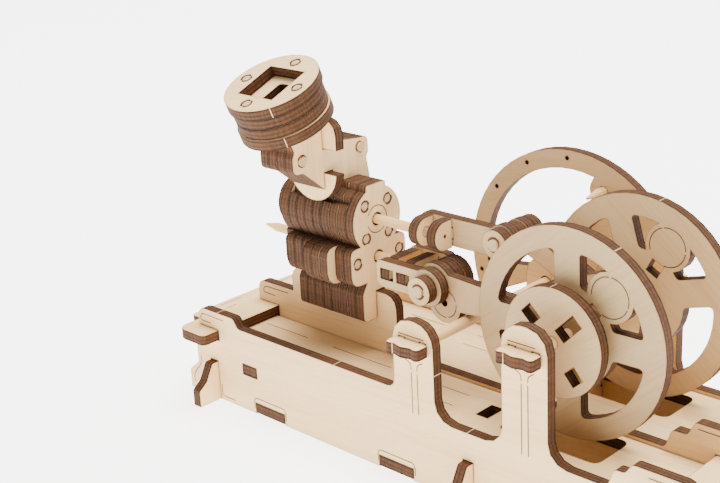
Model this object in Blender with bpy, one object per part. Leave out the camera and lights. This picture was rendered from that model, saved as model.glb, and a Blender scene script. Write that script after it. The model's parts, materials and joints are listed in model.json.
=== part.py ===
"""A flat-packed plywood engine: a stacked cylinder on a slotted base, with a crank, two flywheels,
a hand wheel, a piston line and a valve line.  Lengths are metres, +Z is up, +X runs from the
cylinder to the crank, and the front panel faces -Y.  Places are drawn with that panel's outer
face at y = 0, and the finished engine is moved back by half a sheet."""
import math

import bmesh
import bpy
from mathutils import Matrix, Vector

# Sheet and sticks
PLY = 0.00275
GAP = 0.00025
PITCH = PLY + GAP
DOWEL_RADIUS = 0.00145
STICK_RADIUS = 0.00125
BORE_CLEARANCE = 0.0003
STICK_TIP_LENGTH = 0.0045
STICK_TIP_RADIUS = 0.0003
STICK_PROUD = 0.0006
SAME_POINT = 0.000002

# Base panels, seen from the front
BASE_DEPTH = 0.0544
PANEL_LEFT = -0.0094
PANEL_MIDDLE = 0.0697
FLARE_REACH = 0.0041
FLARE_TOP = 0.0055
FLARE_SHOULDER = 0.0088
HOOK_LEFT = -0.0074
HOOK_RIGHT = 0.0070
HOOK_TOP = 0.0260
STEP_RUN = 0.0018
RIM_TOP = 0.0234
SADDLE_TOP = 0.0186
RISE_LEFT = 0.1262
SMALL_FILLET = 0.0013
HOOK_FILLET = 0.0024
CRANK_SIDE_FILLET = 0.0050
POST_WIDTH = 0.0126
POST_FILLET = 0.0055
HAND_POST_TOP = 0.0423
CRANK_POST_TOP = 0.0496

# Axles
HAND_AXLE_X = 0.0721
HAND_AXLE_Z = 0.0355
CRANK_AXLE_X = 0.10465
CRANK_AXLE_Z = 0.0422

# Tabs, slots and the plates that tie the panels together
TAB_WIDTH = 0.0110
TAB_PITCH = 0.0457
TAB_FIRST = 0.0140
TIE_LEFT = 0.0098
TIE_WIDTH = 0.0052
TIE_LOW = 0.0107
FLOOR_LIFT = GAP
DECK_LOW = 0.0150
TOP_PLATE_LEFT = -0.0145
TOP_PLATE_RIGHT = 0.0004
TOP_PLATE_TAB_LEFT = -0.0105
TOP_PLATE_REACH = 0.0054
TOP_PLATE_FILLET = 0.0030

# Cross frames and their feet
FOOT_REACH = 0.0073
FOOT_HEIGHT = 0.0112
FRAME_FIRST = -0.0037
FRAME_TAB_GAP = 0.0186
FRAME_MIDDLE = TAB_FIRST + 2 * TAB_PITCH - FRAME_TAB_GAP
LAP_HEIGHT = 0.0080
FOOT_SHARES = ((1.0, 0.0), (1.0, 0.41), (0.62, 0.59), (0.28, 1.0))
FOOT_FILLET = 0.0008

# Fork clips that lock the axle ends
CLIP_WIDTH = 0.0100
CLIP_REACH = 0.0044
CLIP_RISE = 0.0006
CLIP_WAVE = 0.0007
CLIP_BOW = 0.0011
PRONG_WIDTH = 0.0016
PRONG_OFFSET = 0.0024
PRONG_PROUD = 0.0012

# Centre panel, or spine
SPINE_OFFSET = 0.0048
SPINE_FRONT = BASE_DEPTH / 2 - SPINE_OFFSET
SPINE_HOOK_RIGHT = 0.0058
SPINE_HOOK_TOP = 0.0270
PEDESTAL_LEFT = 0.0071
PEDESTAL_RIGHT = 0.0462
PEDESTAL_TOP = 0.0346
PEDESTAL_FILLET = 0.0035

# Deck openings that the flywheels dip into
WELL_HALF = 0.01385
WELL_INSET = 0.00475
WELL_REACH = 0.0085
WELL_MARGIN = 0.00175
WELL_FILLET = 0.0020
DECK_SLOT_LEFT = 0.0826
DECK_SLOT_RIGHT = 0.0862
DECK_SLOT_FRONT = 0.0098
DECK_SLOT_BACK = 0.0159

# Cylinder block of plates that face +X
BLOCK_FRONT = 0.0395
BLOCK_PLATES = 10
LEGGED_PLATES = 8
CHEST_FIRST = 2
CHEST_PLATES = 3
CHEST_HALF = 0.0129
SHORT_VALVE_HALF = 0.0071
CAP_LOBE_RADIUS = 0.0068
CAP_NECK_HALF = 0.0022
CAP_VALVE_HALF = 0.0052
CAP_VALVE_TOP = 0.0452
CAP_VALVE_LOW = 0.0362
ENGINE_Y = SPINE_FRONT + PLY / 2
LOBE_RADIUS = 0.0088
CROWN_TOP = 0.0638
CROWN_HALF = 0.0036
WAIST_Z = 0.0482
WAIST_HALF = 0.0066
VALVE_LOBE_HALF = 0.0102
VALVE_LOBE_LOW = 0.0379
VALVE_LOBE_FILLET = 0.0024
VALVE_LOBE_LOW_FILLET = 0.0036
LEG_HALF = 0.0065
LEG_SHOULDER_HALF = 0.0047
LEG_SHOULDER_LOW = 0.0350
LEG_LOW = 0.0272
LEG_CLEARANCE = 0.0003
PISTON_ROD_Z = 0.0542
VALVE_ROD_Z = 0.0440
CYLINDER_RADIUS = 0.0044
GLAND_CLEARANCE = 0.0005
GLAND_RADIUS = STICK_RADIUS + GLAND_CLEARANCE
UPPER_PIN_HALF = 0.0042
UPPER_PIN_Z = 0.0586
MIDDLE_PIN_Z = 0.0498
LOWER_PIN_HALF = 0.0078
LOWER_PIN_Z = 0.0440

# Neck of the head: it leans to the front
NECK_FIRST = 3
NECK_PLATES = 4
HEAD_TILT = math.radians(22.0)
HEAD_RADIUS = 0.0124
HEAD_TOP_OFFSET = 0.0194
HEAD_TOP_Y = ENGINE_Y - HEAD_TOP_OFFSET
HEAD_TOP_Z = 0.0918
HEAD_SQUARE_HALF = 0.0061
HEAD_SLOT_HALF_X = 0.0017
HEAD_SLOT_HALF_Y = 0.0036
HEAD_SLOT_FILLET = 0.0009
HEAD_PIN_RADIUS = 0.0091
HEAD_DISC_SHARES = (1.0, 0.955, 0.955, 0.99)
NECK_FRONT_OFFSET = 0.019575
NECK_FRONT = ENGINE_Y - NECK_FRONT_OFFSET
NECK_CHIN = 0.0688
NECK_TIP_Z = 0.0627
NECK_FRONT_FILLET = 0.0022
NECK_WAIST_Z = 0.0749
NECK_WAIST_INSET = 0.0008
NECK_BROW_OUTSET = 0.0010
NECK_BACK_TOP = 0.0747
NECK_BACK_OFFSET = 0.0072
NECK_BACK = ENGINE_Y + NECK_BACK_OFFSET
NECK_BACK_FILLET = 0.0028
NECK_BACK_LOW = 0.0690
NECK_FLARE = 0.0009
NECK_PIN_FRONT_OFFSET = 0.016375
NECK_PIN_BACK_OFFSET = 0.004225
NECK_PIN_FRONT = ENGINE_Y - NECK_PIN_FRONT_OFFSET
NECK_PIN_BACK = ENGINE_Y + NECK_PIN_BACK_OFFSET
NECK_PIN_FRONT_Z = 0.0720
NECK_PIN_BACK_Z = 0.0709

# Gusset that crosses the neck plates
GUSSET_OFFSET = 0.008875
GUSSET_FRONT = ENGINE_Y - GUSSET_OFFSET
GUSSET_X = 0.0258
GUSSET_Z = 0.0680
GUSSET_RADIUS = 0.0090
GUSSET_RIGHT = 0.0351
GUSSET_LOW = GUSSET_Z - GUSSET_RADIUS
GUSSET_TOP = 0.0812
GUSSET_THROAT_LOW = 0.0670
GUSSET_THROAT_HIGH = 0.0735
GUSSET_FILLET = 0.0088

# Piston line
PISTON_RADIUS = 0.0041
PISTON_LENGTH = 0.0055
PISTON_FRONT = 0.0330
PISTON_STROKE = 0.0120
CROSSHEAD_FIRST = 0.0536
CROSSHEAD_SECOND = CROSSHEAD_FIRST + 2 * PITCH
CROSSHEAD_RADIUS = 0.0037
CROSSHEAD_HOLE_RADIUS = 0.00045
LINK_OFFSET = 0.0029
LINK_FRONT = ENGINE_Y + LINK_OFFSET
LINK_LEFT = 0.0522
LINK_TOP = 0.0581
LINK_LOW = 0.0508
LINK_TENON_HALF = 0.0014
LINK_PIN_X = 0.0778
LINK_PIN_Z = 0.0553
LINK_END_RADIUS = 0.0042
LINK_FILLET = 0.0016
LINK_HEEL_ANGLE = math.radians(-60.0)
WASHER_RADIUS = 0.0037
REAR_WASHER_RADIUS = 0.0038

# Connecting rod, open at the crank pin
CRANK_THROW = PISTON_STROKE / 2
ROD_FRONT = LINK_FRONT + 2 * PITCH
ROD_EYE_RADIUS = 0.0040
ROD_HALF_WIDTH = 0.0027
ROD_JAW_HALF = 0.0043
JAW_CLEARANCE = 0.0006

# Valve line, whose link runs just behind the front flywheel
WHEEL_SPINE_GAP = 0.0064
VALVE_STROKE = 0.0060
VALVE_LINK_FRONT = SPINE_FRONT - WHEEL_SPINE_GAP + PITCH
VALVE_BAR_FRONT = VALVE_LINK_FRONT - PITCH
VALVE_BAR_LEFT = 0.0460
VALVE_BAR_LOW = 0.0400
VALVE_BAR_TOP = 0.0471
VALVE_PIN_X = 0.0627
VALVE_PIN_Z = 0.0431
VALVE_WASHER_RADIUS = 0.0036
VALVE_EYE_RADIUS = 0.0048
VALVE_DISC_RADIUS = 0.00535
VALVE_DISCS = 2
VALVE_CROSS_FIRST = 0.0476
VALVE_CROSS_SECOND = 0.0530
VALVE_CROSS_HALF_Z = 0.0035
VALVE_CROSS_FILLET = 0.0012
VALVE_TENON_HALF = 0.0012
VALVE_MORTISE_PLAY = 0.0013
VALVE_END_MARGIN = 0.0022
VALVE_LINK_EYE_RADIUS = 0.0056
VALVE_LINK_LOBE_X = 0.0658
VALVE_LINK_LOBE_Z = 0.0390
VALVE_LINK_LOBE_RADIUS = 0.0052
VALVE_LINK_HOLE_RADIUS = 0.0009
VALVE_LINK_ARM_ANGLE = math.radians(38.0)
VALVE_LINK_LOBE_END = math.radians(-15.0)
VALVE_LINK_BEND_X = 0.0753
VALVE_LINK_BEND_Z = 0.0380
VALVE_LINK_JAW_HALF = 0.0026
VALVE_JAW_CLEARANCE = 0.0011
ECCENTRIC_RADIUS = 0.0060
ECCENTRIC_OFFSET = VALVE_STROKE / 2
VALVE_ROD_BACK = -0.0035

# Crankshaft pieces along the crank axle
REAR_WHEEL_INSET = 0.0104
FRONT_WHEEL_FRONT = SPINE_FRONT - WHEEL_SPINE_GAP
REAR_WHEEL_FRONT = BASE_DEPTH - REAR_WHEEL_INSET
CRANK_DISC_FRONT = FRONT_WHEEL_FRONT - 2 * PITCH
CRANK_DISC_RADIUS = 0.0131
CRANK_SLOT_HALF_WIDTH = 0.0017
CRANK_SLOT_ANGLES = (math.radians(45.0), math.radians(136.0), math.radians(226.0), math.radians(311.0))
CRANK_SLOT_SHARES = ((0.22, 0.73), (0.45, 0.76), (0.45, 0.76), (0.54, 0.82))
WEB_RADIUS = 0.0100
HUB_RADIUS = 0.0044
COLLAR_RADIUS = 0.0024

# Flywheels
WHEEL_RADIUS = 0.0254
WHEEL_RING_INNER = 0.0201
WHEEL_HUB_RADIUS = 0.0124
WHEEL_SPOKE_HALF = 0.0034
WHEEL_WINDOW_FILLET = 0.0012
WHEEL_BOSS_RADIUS = 0.0060
WHEEL_BOSS_AT = 0.0159
WHEEL_SLOT_AT = 0.0092
WHEEL_SLOT_HALF_LENGTH = 0.0018
FRONT_WHEEL_TURN = math.radians(1.0)
REAR_WHEEL_TURN = math.radians(16.0)

# Hand wheel
HAND_WHEEL_GAP = 0.0079
HAND_WHEEL_FRONT = BASE_DEPTH + HAND_WHEEL_GAP
HAND_WHEEL_RADIUS = 0.0329
HAND_WHEEL_RING_INNER = 0.0279
HAND_WHEEL_HUB_RADIUS = 0.0090
HAND_WHEEL_HIGH_WINDOW = (math.radians(187.0), math.radians(75.0))
HAND_WHEEL_LOW_WINDOW = (math.radians(205.0), math.radians(335.0))
HAND_WHEEL_HOLE_RADIUS = 0.0006
HAND_WHEEL_HOLE_PITCH = 0.0307
HAND_WHEEL_HOLES = 10
HAND_WHEEL_HOLE_FIRST = math.radians(92.0)
HAND_WHEEL_HOLE_STEP = math.radians(25.0)
HANDLE_INSET = 0.0021
HANDLE_RADIUS_AT = HAND_WHEEL_RING_INNER - HANDLE_INSET
HANDLE_ANGLE = math.radians(67.0)
HANDLE_BUMP_RADIUS = 0.0041
HANDLE_BUMP_END = math.radians(215.0)
HANDLE_REACH = 0.0071
HANDLE_TIP = HAND_WHEEL_FRONT - HANDLE_REACH

CIRCLE_STEPS = 20
WHEEL_STEPS = 48
HAND_WHEEL_STEPS = 60
FILLET_ANGLE = math.radians(30.0)

BIRCH = (0.80, 0.62, 0.42)
PALE_BIRCH = (0.86, 0.72, 0.53)
STICK_WOOD = (0.84, 0.66, 0.45)


def clear_scene():
    """Removes every object that the file starts with."""
    for item in list(bpy.data.objects):
        bpy.data.objects.remove(item)


def wood(name, colour):
    """Gives a plain wood surface its own material."""
    material = bpy.data.materials.new(name)
    material.use_nodes = True
    shader = material.node_tree.nodes["Principled BSDF"]
    shader.inputs["Base Color"].default_value = (*colour, 1.0)
    shader.inputs["Roughness"].default_value = 0.62
    shader.inputs["Metallic"].default_value = 0.0
    return material


def arc(centre, radius, start, end, steps):
    """Points of an arc, both ends included."""
    return [(centre[0] + radius * math.cos(start + (end - start) * i / steps),
             centre[1] + radius * math.sin(start + (end - start) * i / steps))
            for i in range(steps + 1)]


def circle(centre, radius, steps=CIRCLE_STEPS):
    """Points of a full circle."""
    return arc(centre, radius, 0.0, math.tau, steps)[:-1]


def box(left, low, right, high):
    """Corners of an upright rectangle."""
    return [(left, low), (right, low), (right, high), (left, high)]


def rounded(corners):
    """Outline through corners (u, v) or (u, v, fillet radius)."""
    points = []
    count = len(corners)
    for index, corner in enumerate(corners):
        here = Vector(corner[:2])
        radius = corner[2] if len(corner) > 2 else 0.0
        if not radius:
            points.append(tuple(here))
            continue
        back = Vector(corners[index - 1][:2]) - here
        ahead = Vector(corners[(index + 1) % count][:2]) - here
        half = back.angle(ahead) / 2
        reach = min(radius / math.tan(half), back.length / 2, ahead.length / 2)
        size = reach * math.tan(half)
        centre = here + (back.normalized() + ahead.normalized()).normalized() * size / math.sin(half)
        begin = here + back.normalized() * reach - centre
        finish = here + ahead.normalized() * reach - centre
        start = math.atan2(begin.y, begin.x)
        turn = math.remainder(math.atan2(finish.y, finish.x) - start, math.tau)
        steps = max(2, math.ceil(abs(turn) / FILLET_ANGLE))
        points += arc(centre, size, start, start + turn, steps)
    return [here for index, here in enumerate(points) if math.dist(here, points[index - 1]) > SAME_POINT]


def turned(points, pivot, angle):
    """Points turned about a pivot."""
    c, s = math.cos(angle), math.sin(angle)
    return [(pivot[0] + c * (u - pivot[0]) - s * (v - pivot[1]),
             pivot[1] + s * (u - pivot[0]) + c * (v - pivot[1])) for u, v in points]


def mirrored(points, middle):
    """Points reflected in the upright line u = middle."""
    return [(2 * middle - corner[0], *corner[1:]) for corner in reversed(points)]


TURNS = {
    "x": Matrix(((0, 0, 1), (1, 0, 0), (0, 1, 0))),
    "y": Matrix(((1, 0, 0), (0, 0, -1), (0, 1, 0))),
    "z": Matrix.Identity(3),
}


def plate(name, normal, low, outline, holes=(), pivot=(0.0, 0.0), colour=BIRCH, frame=None):
    """A flat sheet piece: an outline with holes, given its low face and one sheet thickness.
    An x plate is drawn in (y, z), a y plate in (x, z) and a z plate in (x, y).  The pivot is the
    drawn point where the object has its origin.  A frame replaces the plate's own turn and place."""
    curve = bpy.data.curves.new(name, "CURVE")
    curve.dimensions = "2D"
    curve.fill_mode = "BOTH"
    curve.extrude = PLY / 2
    for ring in (outline, *holes):
        spline = curve.splines.new("POLY")
        spline.points.add(len(ring) - 1)
        for point, (u, v) in zip(spline.points, ring):
            point.co = (u - pivot[0], v - pivot[1], 0.0, 1.0)
        spline.use_cyclic_u = True
    curve.materials.append(wood(name, colour))
    item = bpy.data.objects.new(name, curve)
    bpy.context.collection.objects.link(item)
    if frame is not None:
        item.matrix_world = frame
        return item
    middle = low + PLY / 2
    turn = TURNS[normal]
    item.matrix_world = Matrix.Translation(turn @ Vector((pivot[0], pivot[1], 0.0))) @ turn.to_4x4()
    item.location[("x", "y", "z").index(normal)] = middle
    return item


def sticks(name, axis, places, profile, colour=STICK_WOOD, frame=None, steps=12):
    """Round rods along one axis.  Places are drawn points as for a plate, and the profile is a
    list of (position along the axis, radius).  The object's origin is the first place."""
    mesh = bpy.data.meshes.new(name)
    work = bmesh.new()
    first = places[0]
    for place in places:
        centre = Vector((place[0] - first[0], place[1] - first[1], 0.0))
        rings = []
        for along, radius in profile:
            rings.append([work.verts.new(centre + Vector((u, v, along)))
                          for u, v in circle((0.0, 0.0), radius, steps)])
        for lower, upper in zip(rings, rings[1:]):
            for i in range(steps):
                j = (i + 1) % steps
                work.faces.new((lower[i], lower[j], upper[j], upper[i]))
        work.faces.new(list(reversed(rings[0])))
        work.faces.new(rings[-1])
    work.to_mesh(mesh)
    work.free()
    mesh.shade_smooth()
    mesh.set_sharp_from_angle(angle=FILLET_ANGLE)
    mesh.materials.append(wood(name, colour))
    item = bpy.data.objects.new(name, mesh)
    bpy.context.collection.objects.link(item)
    if frame is not None:
        item.matrix_world = frame
        return item
    turn = TURNS[axis] if axis != "y" else TURNS["y"] @ Matrix.Diagonal((1, -1, -1))
    origin = TURNS[axis] @ Vector((first[0], first[1], 0.0))
    item.matrix_world = Matrix.Translation(origin) @ turn.to_4x4()
    return item


def post_fittings(centre, axle_z, clipped):
    """Holes of one axle post: the axle's bore and, where a fork clip goes, its two slots."""
    holes = [circle((centre, axle_z), DOWEL_RADIUS + BORE_CLEARANCE)]
    if not clipped:
        return holes
    low = axle_z + CLIP_RISE - PLY / 2 - GAP
    high = axle_z + CLIP_RISE + PLY / 2 + GAP
    inner = PRONG_OFFSET - GAP
    outer = PRONG_OFFSET + PRONG_WIDTH + GAP
    holes.append(box(centre - outer, low, centre - inner, high))
    holes.append(box(centre + inner, low, centre + outer, high))
    return holes


def frame_places():
    """Low X face of each cross frame."""
    return FRAME_FIRST, FRAME_MIDDLE, 2 * PANEL_MIDDLE - FRAME_FIRST - PLY


def tab_places():
    """Left edge of each tab along the foot of a panel."""
    return [TAB_FIRST + TAB_PITCH * i for i in range(3)]


def plate_notch():
    """Height of the open notches that the two top plates slide into."""
    low = DECK_LOW + PITCH - GAP
    return low, low + PITCH + GAP


def panel_foot():
    """Foot edge of a side panel, right to left, with its tab notches and foot slots."""
    notches = [(x - GAP, x + TAB_WIDTH + GAP, FLOOR_LIFT + PLY + GAP) for x in tab_places()]
    notches += [(x - GAP, x + PLY + GAP, FOOT_HEIGHT + GAP) for x in frame_places()]
    corners = []
    for left, right, high in sorted(notches, reverse=True):
        corners += [(right, 0.0), (right, high), (left, high), (left, 0.0)]
    return corners


def hook_end(rim, hook_right, hook_top):
    """Left end of a panel, foot to rim: flare, plate notch, raised hook and the step down."""
    low, high = plate_notch()
    return [
        (PANEL_LEFT - FLARE_REACH, 0.0),
        (PANEL_LEFT - FLARE_REACH, FLARE_TOP, SMALL_FILLET),
        (PANEL_LEFT, FLARE_SHOULDER, SMALL_FILLET),
        (PANEL_LEFT, low),
        (TOP_PLATE_RIGHT + GAP, low),
        (TOP_PLATE_RIGHT + GAP, high),
        (HOOK_LEFT, high),
        (HOOK_LEFT, hook_top, HOOK_FILLET),
        (hook_right, hook_top, SMALL_FILLET),
        (hook_right + STEP_RUN, rim, SMALL_FILLET),
    ]


def side_panel(name, low, hand_clip):
    """Front or rear panel with its two axle posts.  Only one hand axle post takes a clip."""
    left = hook_end(RIM_TOP, HOOK_RIGHT, HOOK_TOP)
    half = POST_WIDTH / 2
    posts = [
        (HAND_AXLE_X - half, RIM_TOP, HOOK_FILLET),
        (HAND_AXLE_X - half, HAND_POST_TOP, POST_FILLET),
        (HAND_AXLE_X + half, HAND_POST_TOP, POST_FILLET),
        (HAND_AXLE_X + half, SADDLE_TOP, CRANK_SIDE_FILLET),
        (CRANK_AXLE_X - half, SADDLE_TOP, CRANK_SIDE_FILLET),
        (CRANK_AXLE_X - half, CRANK_POST_TOP, POST_FILLET),
        (CRANK_AXLE_X + half, CRANK_POST_TOP, POST_FILLET),
        (CRANK_AXLE_X + half, SADDLE_TOP, CRANK_SIDE_FILLET),
        (RISE_LEFT, SADDLE_TOP, SMALL_FILLET),
        (RISE_LEFT + STEP_RUN, RIM_TOP, SMALL_FILLET),
    ]
    outline = rounded(left + posts + mirrored(left, PANEL_MIDDLE) + panel_foot())
    holes = post_fittings(HAND_AXLE_X, HAND_AXLE_Z, hand_clip)
    holes += post_fittings(CRANK_AXLE_X, CRANK_AXLE_Z, True)
    holes.append(tie_slot())
    return plate(name, "y", low, outline, holes)


def tie_slot():
    """Hole for the tie bar that joins the panels through the spine."""
    return box(TIE_LEFT - GAP, TIE_LOW - GAP, TIE_LEFT + TIE_WIDTH + GAP, TIE_LOW + PITCH)


def spine_panel():
    """Centre panel: hook ends, the pedestal under the cylinder and a low rim under the crank."""
    foot = FLOOR_LIFT + PLY + GAP
    left = [(PANEL_LEFT, foot)] + hook_end(RIM_TOP, SPINE_HOOK_RIGHT, SPINE_HOOK_TOP)[3:-1]
    top = [
        (PEDESTAL_LEFT, SPINE_HOOK_TOP),
        (PEDESTAL_LEFT, PEDESTAL_TOP, PEDESTAL_FILLET),
        (PEDESTAL_RIGHT, PEDESTAL_TOP, PEDESTAL_FILLET),
        (PEDESTAL_RIGHT, SADDLE_TOP, PEDESTAL_FILLET),
        (RISE_LEFT, SADDLE_TOP, SMALL_FILLET),
        (RISE_LEFT + STEP_RUN, RIM_TOP, SMALL_FILLET),
        (2 * PANEL_MIDDLE - SPINE_HOOK_RIGHT - STEP_RUN, RIM_TOP, SMALL_FILLET),
    ]
    laps = []
    for x in sorted(frame_places(), reverse=True):
        laps += [(x + PLY + GAP, foot), (x + PLY + GAP, LAP_HEIGHT)]
        laps += [(x - GAP, LAP_HEIGHT), (x - GAP, foot)]
    outline = rounded(left + top + mirrored(left, PANEL_MIDDLE) + laps)
    return plate("spine_panel", "y", SPINE_FRONT, outline, [tie_slot()])


def cross_frame(name, low):
    """Frame across the base whose ends are the feet."""
    half_lap = LAP_HEIGHT - GAP
    front = [(-FOOT_REACH * u, FOOT_HEIGHT * v, FOOT_FILLET if u else 0.0) for u, v in FOOT_SHARES]
    front[0] = front[0][:2]
    inner = [(PLY + GAP, FOOT_HEIGHT), (PLY + GAP, DECK_LOW - GAP),
             (SPINE_FRONT - GAP, DECK_LOW - GAP), (SPINE_FRONT - GAP, half_lap),
             (SPINE_FRONT + PLY + GAP, half_lap), (SPINE_FRONT + PLY + GAP, DECK_LOW - GAP),
             (BASE_DEPTH - PLY - GAP, DECK_LOW - GAP), (BASE_DEPTH - PLY - GAP, FOOT_HEIGHT)]
    back = mirrored(front, BASE_DEPTH / 2)
    floor = FLOOR_LIFT + PLY + GAP
    bottom = [(BASE_DEPTH - PLY, 0.0), (BASE_DEPTH - PLY, floor), (PLY, floor), (PLY, 0.0)]
    return plate(name, "x", low, rounded(front + inner + back + bottom))


def floor_plate():
    """Sheet between the panels at the bottom, with three tabs through each of them."""
    inner_front, inner_back = PLY + GAP, BASE_DEPTH - PLY - GAP
    left, right = PANEL_LEFT, 2 * PANEL_MIDDLE - PANEL_LEFT
    front = [(left, inner_front)]
    for x in tab_places():
        front += [(x, inner_front), (x, 0.0), (x + TAB_WIDTH, 0.0), (x + TAB_WIDTH, inner_front)]
    front.append((right, inner_front))
    back = [(u, BASE_DEPTH - v) for u, v in reversed(front)]
    return plate("floor_plate", "z", FLOOR_LIFT, front + back)


def deck(name, front, back, holes):
    """One half of the deck, between a side panel and the spine."""
    left, right = PANEL_LEFT, 2 * PANEL_MIDDLE - PANEL_LEFT
    return plate(name, "z", DECK_LOW, box(left, front, right, back), holes, colour=PALE_BIRCH)


def decks():
    """Both deck halves, each with the well that its flywheel dips into."""
    left, right = CRANK_AXLE_X - WELL_HALF, CRANK_AXLE_X + WELL_HALF

    def well(front, back):
        """Opening of one deck half, from front to back."""
        return rounded([(left, front, WELL_FILLET), (right, front, WELL_FILLET),
                        (right, back, WELL_FILLET), (left, back, WELL_FILLET)])

    slot = box(DECK_SLOT_LEFT, DECK_SLOT_FRONT, DECK_SLOT_RIGHT, DECK_SLOT_BACK)
    front_well = well(PLY + WELL_INSET, FRONT_WHEEL_FRONT + PLY + WELL_MARGIN)
    rear_well = well(REAR_WHEEL_FRONT - WELL_REACH, REAR_WHEEL_FRONT + PLY + WELL_MARGIN)
    deck("front_deck", PLY + GAP, SPINE_FRONT - GAP, [front_well, slot])
    deck("rear_deck", SPINE_FRONT + PITCH, BASE_DEPTH - PITCH, [rear_well])


def top_plate(name, mirror):
    """Plate that slides into the open notches at one end of the base."""
    front = [(TOP_PLATE_LEFT, PLY, TOP_PLATE_FILLET / 2), (TOP_PLATE_TAB_LEFT, PLY),
             (TOP_PLATE_TAB_LEFT, -TOP_PLATE_REACH, TOP_PLATE_FILLET),
             (TOP_PLATE_RIGHT, -TOP_PLATE_REACH, TOP_PLATE_FILLET / 2)]
    back = [(u, BASE_DEPTH - v, *r) for u, v, *r in reversed(front)]
    corners = front + back
    if mirror:
        corners = mirrored(corners, PANEL_MIDDLE)
    return plate(name, "z", DECK_LOW + PITCH, rounded(corners))


def clip(name, centre, axle_z, rear):
    """Fork that passes through a post on both sides of an axle and shows a wavy edge outside."""
    half = CLIP_WIDTH / 2
    prong_in, prong_out = PRONG_OFFSET, PRONG_OFFSET + PRONG_WIDTH
    inside = PLY + PRONG_PROUD
    outline = rounded([
        (-half, -GAP, CLIP_WAVE), (-half, -CLIP_REACH, CLIP_BOW),
        (-half / 2, -CLIP_REACH + CLIP_WAVE, CLIP_BOW), (0.0, -CLIP_REACH, CLIP_BOW),
        (half / 2, -CLIP_REACH + CLIP_WAVE, CLIP_BOW), (half, -CLIP_REACH, CLIP_BOW),
        (half, -GAP, CLIP_WAVE),
        (prong_out, -GAP), (prong_out, inside), (prong_in, inside), (prong_in, -GAP),
        (-prong_in, -GAP), (-prong_in, inside), (-prong_out, inside), (-prong_out, -GAP)])
    if rear:
        outline = [(u, BASE_DEPTH - v) for u, v in outline]
    outline = [(centre + u, v) for u, v in outline]
    return plate(name, "z", axle_z + CLIP_RISE - PLY / 2, outline)


def base():
    """Everything that stays still below the engine."""
    side_panel("front_panel", 0.0, True)
    side_panel("rear_panel", BASE_DEPTH - PLY, False)
    spine_panel()
    floor_plate()
    decks()
    for name, low in zip(("left_cross_frame", "middle_cross_frame", "right_cross_frame"), frame_places()):
        cross_frame(name, low)
    plate("tie_bar", "z", TIE_LOW, box(TIE_LEFT, 0.0, TIE_LEFT + TIE_WIDTH, BASE_DEPTH))
    top_plate("left_top_plate", False)
    top_plate("right_top_plate", True)
    clip("hand_axle_clip", HAND_AXLE_X, HAND_AXLE_Z, False)
    clip("front_crank_clip", CRANK_AXLE_X, CRANK_AXLE_Z, False)
    clip("rear_crank_clip", CRANK_AXLE_X, CRANK_AXLE_Z, True)


def head_frame(depth):
    """Place of a head disc whose middle lies a depth below the head's top face."""
    normal = Vector((0.0, -math.sin(HEAD_TILT), math.cos(HEAD_TILT)))
    middle = BLOCK_FRONT - PITCH * (NECK_FIRST + NECK_PLATES / 2) + GAP / 2
    top = Vector((middle, HEAD_TOP_Y, HEAD_TOP_Z))
    return Matrix.Translation(top - normal * depth) @ Matrix.Rotation(HEAD_TILT, 4, "X")


def head_floor(y):
    """Height of the head's lower face at a given y."""
    below = head_frame(len(HEAD_DISC_SHARES) * PITCH).translation
    return below.z + (y - below.y) * math.tan(HEAD_TILT)


def block_holes(index):
    """Bores of one cylinder plate: the cylinder or a gland, the valve passage and the pins."""
    piston_bore = CYLINDER_RADIUS if index else GLAND_RADIUS
    holes = [circle((ENGINE_Y, PISTON_ROD_Z), piston_bore), circle((ENGINE_Y, VALVE_ROD_Z), GLAND_RADIUS)]
    pins = [place for place in block_pin_places() if index < LEGGED_PLATES or place[1] != LOWER_PIN_Z]
    holes += [circle(place, STICK_RADIUS + GAP / 2, 12) for place in pins]
    if NECK_FIRST <= index < NECK_FIRST + NECK_PLATES:
        holes += [circle(place, STICK_RADIUS + GAP / 2, 12) for place in neck_pin_places()]
    return holes


def cap_outline():
    """Outline of the cap: a round cylinder lobe on a narrow neck above a small valve lobe."""
    y, r = ENGINE_Y, CAP_LOBE_RADIUS
    turn = math.asin(CAP_NECK_HALF / r)
    lobe = arc((y, PISTON_ROD_Z), r, turn - math.pi / 2, 3 * math.pi / 2 - turn, 24)
    return lobe + rounded([
        (y - CAP_NECK_HALF, CAP_VALVE_TOP), (y - CAP_VALVE_HALF, CAP_VALVE_TOP, VALVE_LOBE_FILLET),
        (y - CAP_VALVE_HALF, CAP_VALVE_LOW, VALVE_LOBE_FILLET),
        (y + CAP_VALVE_HALF, CAP_VALVE_LOW, VALVE_LOBE_FILLET),
        (y + CAP_VALVE_HALF, CAP_VALVE_TOP, VALVE_LOBE_FILLET), (y + CAP_NECK_HALF, CAP_VALVE_TOP)])


def cap_holes():
    """Bores of the cap: the piston gland and the valve gland."""
    return [circle((ENGINE_Y, PISTON_ROD_Z), GLAND_RADIUS), circle((ENGINE_Y, VALVE_ROD_Z), GLAND_RADIUS)]


def block_pin_places():
    """The six pins that string the cylinder plates together, as (y, z)."""
    return [(ENGINE_Y + side * half, z) for half, z in (
        (UPPER_PIN_HALF, UPPER_PIN_Z), (UPPER_PIN_HALF, MIDDLE_PIN_Z),
        (LOWER_PIN_HALF, LOWER_PIN_Z)) for side in (-1, 1)]


def neck_pin_places():
    """The two pins of the neck, as (y, z)."""
    return [(NECK_PIN_FRONT, NECK_PIN_FRONT_Z), (NECK_PIN_BACK, NECK_PIN_BACK_Z)]


def lobe_arc(start_y, end_y):
    """Upper arc of the cylinder lobe between two places, named by their y."""
    place, r = (ENGINE_Y, PISTON_ROD_Z), LOBE_RADIUS
    return arc(place, r, math.acos((start_y - ENGINE_Y) / r), math.acos((end_y - ENGINE_Y) / r), 8)


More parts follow.
